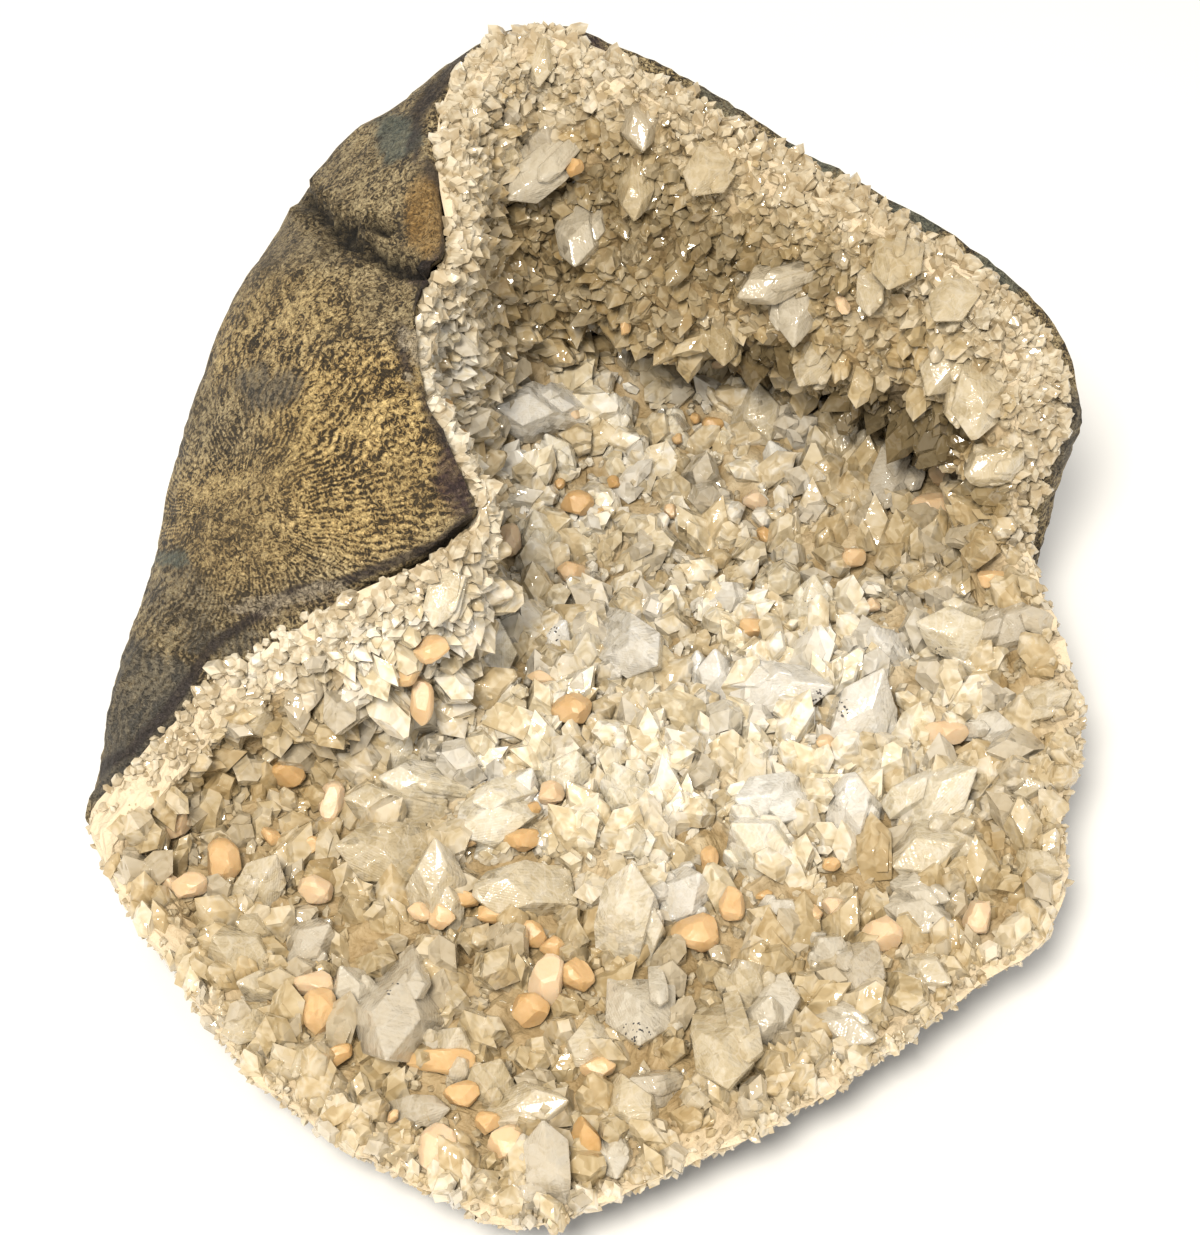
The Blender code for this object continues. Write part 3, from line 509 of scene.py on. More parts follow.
def kept_apart(loops, other, least):
    """The loops below the edge, each point moved off the other face to a least distance."""
    apart = [loops[0]]
    for loop in loops[1:]:
        row = []
        for point in loop:
            near, _, _, distance = other.find_nearest(point)
            short = max(0, least - distance)
            row.append(point + (point - near).normalized() * short)
        apart.append(row)
    return apart


def kept_inside(loops, outer, least):
    """The loops below the edge, each point moved in from the outer face to a least depth."""
    moved = [loops[0]]
    for loop in loops[1:]:
        row = []
        for point in loop:
            near, square, _, _ = outer.find_nearest(point)
            inwards = square if square.dot(FLOOR_MIDDLE - near) > 0 else -square
            short = max(0, least - (point - near).dot(inwards))
            row.append(point + inwards * short)
        moved.append(row)
    return moved


def picture_place(point):
    """Where the viewer sees a point, as (across, down)."""
    ray = point - EYE
    scale = VIEW_DISTANCE / -ray.dot(TO_EYE) / MM_PER_POINT
    return (PICTURE_CENTRE[0] + ray.dot(VIEW_RIGHT) * scale, PICTURE_CENTRE[1] - ray.dot(VIEW_UP) * scale)


def seen_on(surface, across, down):
    """The place of the hollow's face that the viewer sees there, and its direction out of the face."""
    ray = (seen_at(across, down, 0) - EYE).normalized()
    place, square, _, _ = surface.ray_cast(EYE, ray)
    if place is None:
        return None, None
    return place, square if square.dot(ray) < 0 else -square


def pointing(heading, lean, square):
    """A crystal's own direction, turned towards the face's where it would lie too flat on it."""
    turn, rise = math.radians(heading), math.radians(lean)
    level = VIEW_RIGHT * math.cos(turn) + VIEW_UP * math.sin(turn)
    direction = level * math.cos(rise) + TO_EYE * math.sin(rise)
    excess = direction.angle(square) - GREATEST_LEAN
    if excess > 0:
        direction = Matrix.Rotation(excess, 3, direction.cross(square)) @ direction
    return direction


def standing_place(surface, across, down, heading, lean, length):
    """Where a crystal stands on the hollow's face and which way it points, its middle seen as asked."""
    aim_across, aim_down = across, down
    place, square = seen_on(surface, across, down)
    if place is None:
        return None, None
    for _ in range(3):
        direction = pointing(heading, lean, square)
        middle = picture_place(place + direction * length / 2)
        aim_across += across - middle[0]
        aim_down += down - middle[1]
        next_place, next_square = seen_on(surface, aim_across, aim_down)
        if next_place is None:
            break
        place, square = next_place, next_square
    return place, pointing(heading, lean, square)


def coarse_places():
    """Where the CAD read its ribs."""
    return even_places([rib[0] for rib in specimen_ribs(STEPS_HOLLOW)[2]], STEPS_ROUND)


def finer(loops, steps_round):
    """The loops with more points, on smooth curves through the CAD's own."""
    stride = len(loops[0]) / steps_round
    return [[between(loop, step * stride, True) for step in range(steps_round)] for loop in loops]


def hollow_loops(steps_round, steps_hollow):
    """The loops of the hollow's own face, at the CAD's places or finer."""
    ribs = specimen_ribs(steps_hollow)[2]
    return finer(loops_of(ribs, coarse_places()), steps_round)


def front_loops(steps_round, steps_hollow, steps_rim):
    """The crust's rim, from the rind inward, and then the hollow's own loops."""
    hollow = hollow_loops(steps_round, steps_hollow)
    contact = contact_loops(steps_round)
    edge = moved_loops(contact, normals_of(contact), GAP * 0.4)[0]
    rim = [[start.lerp(end, step / steps_rim) for start, end in zip(edge, hollow[0])]
           for step in range(steps_rim)]
    return rim + hollow


def contact_loops(steps_round):
    """The face that rind and crust share, as the CAD has it."""
    outsides, contacts, hollows = specimen_ribs(STEPS_HOLLOW)
    places = coarse_places()
    outside, contact, hollow = (loops_of(ribs, places) for ribs in (outsides, contacts, hollows))
    contact = kept_apart(contact, face_of(hollow), CRUST_LEAST)
    contact = kept_inside(contact, face_of(eased(outside)), RIND_LEAST)
    return finer(contact, steps_round)


def new_object(name, points, faces):
    """A mesh object from corner points in metres, flat shaded."""
    mesh = bpy.data.meshes.new(name)
    mesh.from_pydata([tuple(map(float, point)) for point in points], [], faces)
    mesh.update()
    obj = bpy.data.objects.new(name, mesh)
    bpy.context.scene.collection.objects.link(obj)
    return obj


def activate(obj):
    """Selects this object alone and makes it the active one."""
    bpy.ops.object.select_all(action="DESELECT")
    obj.select_set(True)
    bpy.context.view_layer.objects.active = obj


def applied(obj, kind, **settings):
    """Adds a modifier and applies it."""
    modifier = obj.modifiers.new(kind.title(), kind)
    for key, value in settings.items():
        setattr(modifier, key, value)
    activate(obj)
    bpy.ops.object.modifier_apply(modifier=modifier.name)


def rounded(obj, segments, smooth_angle):
    """Bevels a piece's edges and shades it smooth below an angle in degrees."""
    applied(obj, "BEVEL", width=BEVEL_WIDTH, segments=segments, limit_method="ANGLE", angle_limit=BEVEL_ANGLE)
    bpy.ops.object.shade_smooth_by_angle(angle=math.radians(smooth_angle))


def outward_faces(obj):
    """Turns every face of a closed piece outward."""
    activate(obj)
    bpy.ops.object.mode_set(mode="EDIT")
    bpy.ops.mesh.select_all(action="SELECT")
    bpy.ops.mesh.normals_make_consistent(inside=False)
    bpy.ops.object.mode_set(mode="OBJECT")


def finish(obj, material, replaced=None):
    """Gives a piece its material, hides the CAD part that it replaces, and lets it ride on the specimen."""
    obj.data.materials.clear()
    obj.data.materials.append(material)
    if replaced:
        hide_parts(replaced)
    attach(obj, "root")


def write_attribute(mesh, name, values):
    layer = mesh.attributes.new(name, "FLOAT", "POINT")
    layer.data.foreach_set("value", np.asarray(values, np.float32))


def read_points(mesh, what="co"):
    """The corner points of a mesh, or their normals, as an array."""
    flat = np.empty(len(mesh.vertices) * 3, np.float32)
    mesh.vertices.foreach_get(what, flat)
    return flat.reshape(-1, 3).astype(float)


def in_picture(points):
    """Where the viewer sees each point, as rows of (across, down); points in metres."""
    rays = points / MM - np.array(EYE)
    scale = VIEW_DISTANCE / -(rays @ np.array(TO_EYE)) / MM_PER_POINT
    return np.stack([PICTURE_CENTRE[0] + rays @ np.array(VIEW_RIGHT) * scale,
                     PICTURE_CENTRE[1] - rays @ np.array(VIEW_UP) * scale], axis=1)


def noise_of(points, size, seed, octaves=3):
    """Fractal noise about zero at each point; the size in millimetres."""
    shift = Vector((seed * 17.3, seed * 5.1, seed * 9.7))
    places = (Vector(point) / (size * MM) + shift for point in points)
    return np.array([noise.fractal(place, 0.7, 2.1, octaves) for place in places])


def soft(values, low, high):
    """0 below low, 1 above high, smooth between."""
    share = np.clip((values - low) / (high - low), 0, 1)
    return share * share * (3 - 2 * share)


def near_line(places, line):
    """Distance in the picture of each place from a drawn line."""
    least = np.full(len(places), 1e9)
    for start, end in zip(line, line[1:]):
        start, along = np.array(start, float), np.array(end, float) - np.array(start, float)
        share = np.clip(((places - start) @ along) / (along @ along), 0, 1)
        least = np.minimum(least, np.linalg.norm(places - (start + share[:, None] * along), axis=1))
    return least


def within(places, across, down, half_across, half_down):
    """1 in the middle of an oval in the picture, falling to 0 past its rim."""
    away = ((places[:, 0] - across) / half_across) ** 2 + ((places[:, 1] - down) / half_down) ** 2
    return 1 - soft(away, 0.35, 1.3)


# Crystals

def prism_corners(half_x, half_y, length, root, slope_x, slope_y, flat):
    """Corners and faces of one apophyllite along +Z: a square prism, four kites and maybe a flat end."""
    signs = ((1, 1), (-1, 1), (-1, -1), (1, -1))
    sides = ((1, 0), (0, 1), (-1, 0), (0, -1))
    shoulder = max(length - slope_x * half_x - slope_y * half_y, -root * 0.6)
    corners = [(x * half_x * 0.8, y * half_y * 0.8, -root) for x, y in signs]
    corners += [(x * half_x, y * half_y, shoulder) for x, y in signs]
    corners += [(x * half_x, y * half_y, length - slope_x * half_x * abs(x) - slope_y * half_y * abs(y))
                for x, y in sides]
    faces = [(3, 2, 1, 0)]
    faces += [((side - 1) % 4, side, 4 + side, 8 + side, 4 + (side - 1) % 4) for side in range(4)]
    if flat > 0:
        cut = flat * min(half_x * slope_x, half_y * slope_y)
        corners += [(x * cut / slope_x, y * cut / slope_y, length - cut) for x, y in sides]
        faces += [(8 + side, 4 + side, 8 + (side + 1) % 4, 12 + (side + 1) % 4, 12 + side)
                  for side in range(4)]
        faces.append((12, 13, 14, 15))
    else:
        corners.append((0, 0, length))
        faces += [(8 + side, 4 + side, 8 + (side + 1) % 4, 12) for side in range(4)]
    return np.array(corners), faces


class Cluster:
    """Corners, faces, one tone and one painted shade for each crystal, gathered into one mesh."""

    def __init__(self):
        self.corners, self.faces, self.count = [], [], 0
        self.tones, self.shades, self.sides, self.painted_tip_lights = [], [], [], []

    def add(self, corners, faces, tone, shade=0.0):
        self.faces += [tuple(index + self.count for index in face) for face in faces]
        self.corners.append(corners)
        self.tones += [tone] * len(corners)
        self.shades += [shade] * len(corners)
        self.count += len(corners)

    def grow(self, place, axis, turn, half_x, half_y, length, root, slopes, flat, tone, shade=0.0):
        corners, faces = prism_corners(half_x, half_y, length, root, slopes[0], slopes[1], flat)
        self.sides += list(corners[:, 0] + corners[:, 1] + self.count * 0.37)
        # Share towards the tip, for a painted highlight at the tip and painted shade at the root
        self.painted_tip_lights += list(np.clip(corners[:, 2] / length, 0, 1))
        turned = axis.to_track_quat("Z", "Y").to_matrix() @ Matrix.Rotation(turn, 3, "Z")
        self.add(corners @ np.array(turned).T + np.array(place), faces, tone, shade)

    def made(self, name):
        obj = new_object(name, np.concatenate(self.corners) * MM, self.faces)
        write_attribute(obj.data, "tone", self.tones)
        # The painted shade goes to the materials as an attribute
        write_attribute(obj.data, "shade", self.shades)
        if self.sides:
            write_attribute(obj.data, "side", self.sides)
            write_attribute(obj.data, "rise", self.painted_tip_lights)
        return obj


class Hollow:
    """The hollow's own face as a grid, for casting rays on it and for scattering over it."""

    def __init__(self, loops):
        self.surface = face_of(loops)
        grid = np.array([[tuple(point) for point in loop] for loop in loops])
        after = np.roll(grid, -1, axis=1)
        self.low = grid[:-1].reshape(-1, 3)
        self.side = (after[:-1] - grid[:-1]).reshape(-1, 3)
        self.down = (grid[1:] - grid[:-1]).reshape(-1, 3)
        square = np.cross(self.side, self.down)
        self.area = np.linalg.norm(square, axis=1)
        self.square = square / np.maximum(self.area, 1e-9)[:, None]
        self.rows = np.repeat(np.arange(len(loops) - 1), len(loops[0])) / (len(loops) - 1)

    def scattered(self, count, chance):
        """Places over the face, denser near its edge: each with its direction, edge nearness and painted
        shade.
        """
        steps = np.cumsum(self.area * (1 + 1.5 * (1 - soft(self.rows, 0.08, 0.3))))
        cells = np.searchsorted(steps, [chance.random() * steps[-1] for _ in range(count)])
        cells = np.minimum(cells, len(self.low) - 1)
        aside, below = (np.array([chance.random() for _ in range(count)])[:, None] for _ in range(2))
        places = self.low[cells] + self.side[cells] * aside + self.down[cells] * below
        squares = self.square[cells]
        edges = 1 - soft(self.rows[cells], 0.06, 0.24)
        swell = relief(places)
        places = places + squares * (swell * (1 - edges * 0.85))[:, None]
        # Painted shade: from the crevices and in the low places between the knobs, less near the edge
        shades = np.maximum(painted_shade_at(in_picture(places * MM)), 0.4 * (1 - soft(swell, 0.2, 1.8)))
        shades *= 1 - 0.4 * edges
        for place, square, edge, shade in zip(places, squares, edges, shades):
            yield Vector(place), Vector(square), edge, shade


def relief(points):
    """How far the druse swells into the hollow, in millimetres, at points in millimetres."""
    knobs = np.array([0.6 - noise.voronoi(Vector(point) / 9)[0][0] for point in points])
    high = soft(points[:, 2], 40, 80)
    waves = np.clip(noise_of(points * MM, 15, 8, 3) * 4 + 0.6, 0, 3.6)
    return waves + np.clip(knobs, 0, 1) * (1.8 + 3 * high)


def painted_shade_at(places):
    """How much shade is painted at a place of the hollow, from the crevices seen in the picture."""
    dark = np.full(len(places), REST_PAINTED_SHADE)
    for oval in UNSHADED_PLACES:
        dark = np.minimum(dark, REST_PAINTED_SHADE * (1 - within(places, *oval)))
    for across, down, half_across, half_down, strength in PAINTED_SHADE_PLACES:
        dark = np.maximum(dark, within(places, across, down, half_across, half_down) * strength)
    return dark


def off_direction(square, spread, chance):
    """A direction up to a spread in degrees off the face's own."""
    aside = square.orthogonal().normalized()
    aside.rotate(Matrix.Rotation(chance.uniform(0, math.tau), 3, square))
    lean = math.radians(spread) * math.sqrt(chance.random())
    return (square * math.cos(lean) + aside * math.sin(lean)).normalized()


# Materials

class Value:
    """A number in a material that can be added, subtracted and multiplied."""

    def __init__(self, owner, socket):
        self.owner, self.socket = owner, socket

    def __add__(self, other):
        return self.owner.number("ADD", self, other)

    def __sub__(self, other):
        return self.owner.number("SUBTRACT", self, other)

    def __rsub__(self, other):
        return self.owner.number("SUBTRACT", other, self)

    def __mul__(self, other):
        return self.owner.number("MULTIPLY", self, other)

    def sine(self):
        return self.owner.number("SINE", self)


class Material:
    """A new material and the nodes added to it."""

    def __init__(self, name):
        self.material = bpy.data.materials.new(name)
        self.material.use_nodes = True
        self.tree = self.material.node_tree
        self.where = self.add("ShaderNodeTexCoord").outputs["Object"]

    def put(self, socket, value):
        """Links a socket to a value, or sets its plain number, vector or colour."""
        if isinstance(value, Value):
            value = value.socket
        if isinstance(value, bpy.types.NodeSocket):
            self.tree.links.new(value, socket)
        elif isinstance(value, tuple) and len(socket.default_value) > len(value):
            socket.default_value = (*value, 1)
        else:
            socket.default_value = value

    def add(self, kind, inputs=None, **settings):
        """Adds a node with its settings and the values of its inputs, by name or number."""
        made = self.tree.nodes.new(kind)
        for key, value in settings.items():
            setattr(made, key, value)
        for key, value in (inputs or {}).items():
            self.put(made.inputs[key], value)
        return made

    def finished(self, inputs):
        """The material with the values of its shader's inputs set."""
        for key, value in inputs.items():
            self.put(self.tree.nodes["Principled BSDF"].inputs[key], value)
        return self.material

    def number(self, operation, first, second=0.0):
        return Value(self, self.add("ShaderNodeMath", {0: first, 1: second}, operation=operation).outputs[0])

    def vector(self, operation, *values):
        return self.add("ShaderNodeVectorMath", dict(enumerate(values)), operation=operation).outputs[0]

    def attribute(self, name):
        return Value(self, self.add("ShaderNodeAttribute", attribute_name=name).outputs["Fac"])

    def noise(self, scale, detail=4, roughness=0.55, distortion=0):
        inputs = {"Vector": self.where, "Scale": scale, "Detail": detail, "Roughness": roughness,
                  "Distortion": distortion}
        return Value(self, self.add("ShaderNodeTexNoise", inputs).outputs["Fac"])

    def step(self, value, low, high):
        """0 below low, 1 above high, smooth between."""
        inputs = {"Value": value, "From Min": low, "From Max": high}
        made = self.add("ShaderNodeMapRange", inputs, interpolation_type="SMOOTHSTEP")
        return Value(self, made.outputs["Result"])

    def ramp(self, value, *stops):
        """A colour ramp; the stops as (place, colour)."""
        made = self.add("ShaderNodeValToRGB", {"Fac": value})
        elements = made.color_ramp.elements
        while len(elements) < len(stops):
            elements.new(0.5)
        for element, (place, colour) in zip(elements, stops):
            element.position = place
            element.color = (*colour, 1)
        return made.outputs["Color"]

    def mixed(self, share, first, second, mode="MIX"):
        """Two colours mixed by a share."""
        inputs = {0: share, 6: first, 7: second}
        return self.add("ShaderNodeMix", inputs, data_type="RGBA", blend_type=mode).outputs[2]

    def bumped(self, height, distance, strength, onto=None):
        """The normal of a bump, laid over an earlier one if there is one."""
        inputs = {"Height": height, "Distance": distance, "Strength": strength}
        if onto is not None:
            inputs["Normal"] = onto
        return self.add("ShaderNodeBump", inputs).outputs["Normal"]

    def with_painted_shade(self, colour, depth):
        """The colour with shade painted in: browner where the painted shade is, near black in the crevices.
        """
        shade = self.attribute("shade")
        # Painted shade: multiplied towards brown by its share, then mixed to near black in the crevices
        deeper = self.mixed(shade, colour, (0.52, 0.42, 0.25), "MULTIPLY")
        return self.mixed(self.step(shade, 0.76, 1.02) * depth, deeper, (0.09, 0.07, 0.042))


def rock_material(colours):
    """Weathered basalt: tan over dark brown, fine lines, a crack darkened with painted shade, and coloured
    places by the broken edge.
    """
    made = Material("basalt_weathered")
    mottle = made.noise(130, 3, 0.6, 0.4)
    grain = made.noise(760, 3, 0.7, 1.2)
    speck = made.noise(1300, 2, 0.6)
    wander = made.noise(160, 3) * 7.0
    fan = (made.attribute("turn") * 105.0 + wander).sine()
    arcs = (made.attribute("reach") * 0.95 + wander).sine()
    upper = made.attribute("upper")
    lines = (arcs * upper + fan * (1.0 - upper)) * made.attribute("lined")
    height = grain + lines * 0.055 + (mottle - 0.5) * 0.45
    base = made.ramp(height, (0.42, colours["dark"]), (0.495, colours["tan"]), (0.6, colours["pale"]))
    base = made.mixed(made.step(made.noise(22), 0.4, 0.7) * 0.5, base, (0.13, 0.1, 0.06))
    warm = made.mixed(1.0, base, (1.2, 1.1, 0.86), "MULTIPLY")
    base = made.mixed(made.attribute("warm"), base, warm)
    for name, (colour, strength) in PATCH_COLOURS.items():
        patch = made.step(made.attribute(name) + (grain - 0.5) * 2.4, 0.25, 1.05)
        base = made.mixed(patch * strength, base, colour)
    # Near-black painted shade inside the crack, over its sunken groove
    base = made.mixed(made.attribute("crack") * 0.97, base, (0.012, 0.01, 0.008))
    flecks = made.ramp(speck, (0.34, (0.5, 0.48, 0.45)), (0.5, (1, 1, 1)), (0.7, (1.2, 1.2, 1.2)))
    return made.finished({
        "Base Color": made.mixed(0.8, base, flecks, "MULTIPLY"),
        "Roughness": 0.62,
        "Specular IOR Level": 0.4,
        "Normal": made.bumped(speck, 0.0004, 0.6, made.bumped(height, 0.0024, 1.0)),
    })


def crystal_material(name, deep, pale, white, clear, roughness, density, fine):
    """Milky to clear crystal: its own tone, veils and small facets, and constant values for see-through."""
    made = Material(name)
    veil = made.noise(240, 3 if fine else 1, 0.7, 1.0)
    cells = made.add("ShaderNodeTexVoronoi", {"Vector": made.where, "Scale": 420}).outputs["Color"]
    patch = Value(made, made.add("ShaderNodeSeparateColor", {"Color": cells}).outputs[0])
    # The share rises towards each tip: painted highlight at the tip, painted shade at the root
    share = made.attribute("tone") * 0.5 + (veil - 0.5) * 1.5 + patch * 0.26 + made.attribute("rise") * 0.22
    colour = made.ramp(share, (0.12, deep), (0.5, pale), (0.95, white))
    normal = made.bumped(veil, 0.001, 0.5)
    if fine:
        borders = made.add("ShaderNodeTexVoronoi", {"Vector": made.where, "Scale": 190},
                           feature="DISTANCE_TO_EDGE")
        veins = 1.0 - made.step(borders.outputs["Distance"], 0.0, 0.06)
        colour = made.mixed(veins * 0.4, colour, white)
        normal = made.bumped((made.attribute("side") * 7.0).sine(), 0.0001, 0.2, normal)
        normal = made.bumped(made.noise(1200, 1, 0.6), 0.0003, 0.4, normal)
    aside = made.vector("SUBTRACT", cells, (0.5, 0.5, 0.5))
    tilted = made.vector("MULTIPLY_ADD", aside, (0.42, 0.42, 0.42), normal)
    if density:
        volume = made.add("ShaderNodeVolumeAbsorption", {"Color": ABSORBED, "Density": density})
        made.put(made.tree.nodes["Material Output"].inputs["Volume"], volume.outputs[0])
    return made.finished({
        # Painted shade over the crystal's colour
        "Base Color": made.with_painted_shade(colour, 0.75),
        "Roughness": roughness,
        "Coat Weight": 0.6 if fine else 0,
        "Coat Roughness": 0.03,
        "IOR": 1.535,
        "Transmission Weight": clear,
        "Specular IOR Level": 0.6,
        "Normal": made.vector("NORMALIZE", tilted),
    })


def lining_material():
    """The chalky, drusy bed of the crystals: cream, browned by painted shade in the crevices, and paler at
    the edge.
    """
    made = Material("lining_drusy")
    mottle = made.noise(130, 3, 0.7)
    base = made.ramp(mottle, (0.25, (0.42, 0.32, 0.18)), (0.48, (0.68, 0.55, 0.36)),
                     (0.75, (0.84, 0.73, 0.53)))
    base = made.mixed(made.attribute("rim") * 0.8, base, (0.92, 0.8, 0.62))
    return made.finished({
        # Painted shade over the lining's colour
        "Base Color": made.with_painted_shade(base, 0.9),
        "Roughness": 0.6,
        "Normal": made.bumped(made.noise(700, 2, 0.7), 0.0006, 0.8, made.bumped(mottle, 0.0018, 0.8)),
    })


def stilbite_material(colours):
    """Pearly apricot, each ball in its own tone."""
    made = Material("stilbite_pearly")
    mottle = made.noise(300, 4, 0.6)
    share = made.attribute("tone") * 0.6 + mottle * 0.5
    return made.finished({
        "Base Color": made.ramp(share, (0.15, colours["stilbite_deep"]), (0.5, colours["stilbite"]),
                                (0.95, (0.78, 0.6, 0.42))),
        "Roughness": 0.38,
        "Subsurface Weight": 0.2,
        "Subsurface Radius": (0.004, 0.0025, 0.0015),
        "Subsurface Scale": 1.0,
        "Normal": made.bumped(mottle, 0.0004, 0.6),
    })


def plain_material(name, scale, detail, roughness, *stops):
    """A matte surface with a faint mottle."""
    made = Material(name)
    return made.finished({"Base Color": made.ramp(made.noise(scale, detail), *stops), "Roughness": roughness})


# What the add-on's user sets

class GeodeSizes(bpy.types.PropertyGroup):
    """Sizes and numbers of the crystals."""

    filler_count: bpy.props.IntProperty(
        name="Smaller crystals", description="How many smaller apophyllites grow between the large ones",
        default=4400, min=0, max=8000)
    filler_width: bpy.props.FloatProperty(
        name="Smaller crystal width", description="Usual width of a smaller apophyllite",
        default=0.0056, min=0.001, max=0.02, subtype="DISTANCE", unit="LENGTH")
    druse_count: bpy.props.IntProperty(
        name="Druse crystals", description="How many very small crystals cover the lining",
        default=7000, min=0, max=12000)
    druse_width: bpy.props.FloatProperty(
        name="Druse crystal width", description="Usual width of a druse crystal",
        default=0.0015, min=0.0003, max=0.01, subtype="DISTANCE", unit="LENGTH")
    wrinkle_height: bpy.props.FloatProperty(
        name="Wrinkle height", description="Height of the rind's fine wrinkles",
        default=0.00045, min=0, max=0.003, subtype="DISTANCE", unit="LENGTH")


class GeodeColours(bpy.types.PropertyGroup):
    """Colours of the rind and of the stilbite."""

    tan: bpy.props.FloatVectorProperty(
        name="Rind", description="Colour of the weathered rind", default=(0.28, 0.2, 0.095), size=3,
        min=0, max=1, subtype="COLOR")
    dark: bpy.props.FloatVectorProperty(
        name="Rind grooves", description="Colour of the rind's darker mottling",
        default=(0.035, 0.026, 0.015), size=3, min=0, max=1, subtype="COLOR")
    pale: bpy.props.FloatVectorProperty(
        name="Rind highlights", description="Colour of the rind's paler mottling", default=(0.6, 0.48, 0.27),
        size=3, min=0, max=1, subtype="COLOR")
    stilbite: bpy.props.FloatVectorProperty(
        name="Stilbite", description="Colour of the stilbite balls", default=(0.72, 0.48, 0.25), size=3,
        min=0, max=1, subtype="COLOR")
    stilbite_deep: bpy.props.FloatVectorProperty(
        name="Stilbite, deep", description="Colour of the darker stilbite balls", default=(0.56, 0.33, 0.12),
        size=3, min=0, max=1, subtype="COLOR")


def colours_of(scene):
    chosen = scene.geode_colours
    return {name: tuple(getattr(chosen, name)) for name in GeodeColours.__annotations__}


class GEODE_OT_rind(bpy.types.Operator):
    """Build the weathered basalt rind from its CAD solid"""

    bl_idname = "geode.rind"
    bl_label = "Basalt rind"

    def execute(self, context):
        source = bpy.data.objects["basalt_rind"]
        obj = bpy.data.objects.new("basalt_rind_look", source.data.copy())
        context.scene.collection.objects.link(obj)
        activate(obj)
        bpy.ops.object.mode_set(mode="EDIT")
        bpy.ops.mesh.select_all(action="SELECT")
        bpy.ops.mesh.remove_doubles(threshold=0.00002)
        bpy.ops.mesh.tris_convert_to_quads()
        bpy.ops.object.mode_set(mode="OBJECT")
        bm = bmesh.new()
        bm.from_mesh(obj.data)
        crease = bm.edges.layers.float.new("crease_edge")
        for edge in bm.edges:
            if len(edge.link_faces) == 2 and edge.calc_face_angle(0) > math.radians(48):
                edge[crease] = 1
        bm.to_mesh(obj.data)
        bm.free()
        applied(obj, "SUBSURF", levels=3, render_levels=3)
        shape_rind(obj, context.scene.geode_sizes.wrinkle_height)
        for polygon in obj.data.polygons:
            polygon.use_smooth = True
        finish(obj, rock_material(colours_of(context.scene)), "basalt_rind")
        return {"FINISHED"}


def shape_rind(obj, wrinkle_height):
    """Swellings, wrinkles, the fan of lines, the crack and the coloured places of the rind."""
    mesh = obj.data
    points, squares = read_points(mesh), read_points(mesh, "normal")
    places = in_picture(points)
    to_eye = np.array(EYE) * MM - points
    to_eye /= np.linalg.norm(to_eye, axis=1)[:, None]
    faced = soft((squares * to_eye).sum(axis=1), -0.1, 0.15)
    lift = noise_of(points, 30, 1, 3) * 0.0012 + noise_of(points, 9, 2, 3) * 0.0004

    fan_away = places - np.array(FAN_CENTRE)
    turn = np.degrees(np.arctan2(-fan_away[:, 1], fan_away[:, 0]))
    reach = np.linalg.norm(fan_away, axis=1)
    wobble = noise_of(points, 12, 3, 2)
    upper = soft(-places[:, 1], -330, -230)
    pebbled = noise_of(points, 2.6, 4, 2)
    lift += pebbled * wrinkle_height

    crack = np.zeros(len(points))
    for line, width in CRACKS:
        away = near_line(places + wobble[:, None] * 6, line)
        crack = np.maximum(crack, 1 - soft(away, width * 0.35, width))
    crack *= faced
    lift -= crack * 0.0045
    for across, down, half_across, half_down, height in SWELLINGS:
        lift += within(places, across, down, half_across, half_down) * faced * height * MM

    flat_foot = soft(points[:, 2], 0.0005, 0.006)
    edge_keep = np.where(squares[:, 2] < -0.95, 0, 1)
    moved = points + squares * (lift * flat_foot * edge_keep)[:, None]
    moved[:, 2] = np.maximum(moved[:, 2], 0)
    low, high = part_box("basalt_rind")
    moved = np.clip(moved, np.array(low), np.array(high))
    mesh.vertices.foreach_set("co", moved.astype(np.float32).ravel())
    mesh.update()

    write_attribute(mesh, "seam", faced * (1 - soft(near_line(places, BOUNDARY), 2, 10)))
    write_attribute(mesh, "turn", np.radians(turn) + wobble * 0.12)
    write_attribute(mesh, "reach", reach + wobble * 14)
    write_attribute(mesh, "upper", upper)
    write_attribute(mesh, "lined", faced * soft(reach, 20, 80) * soft(-reach, -330, -210))
    write_attribute(mesh, "crack", crack)
    ragged = wobble * 14
    shifted = places + np.stack([ragged, -ragged], axis=1)
    for name, ovals in ZONES.items():
        share = np.zeros(len(points))
        for across, down, half_across, half_down, strength in ovals:
            share = np.maximum(share, within(shifted, across, down, half_across, half_down) * strength)
        write_attribute(mesh, name, share * faced)


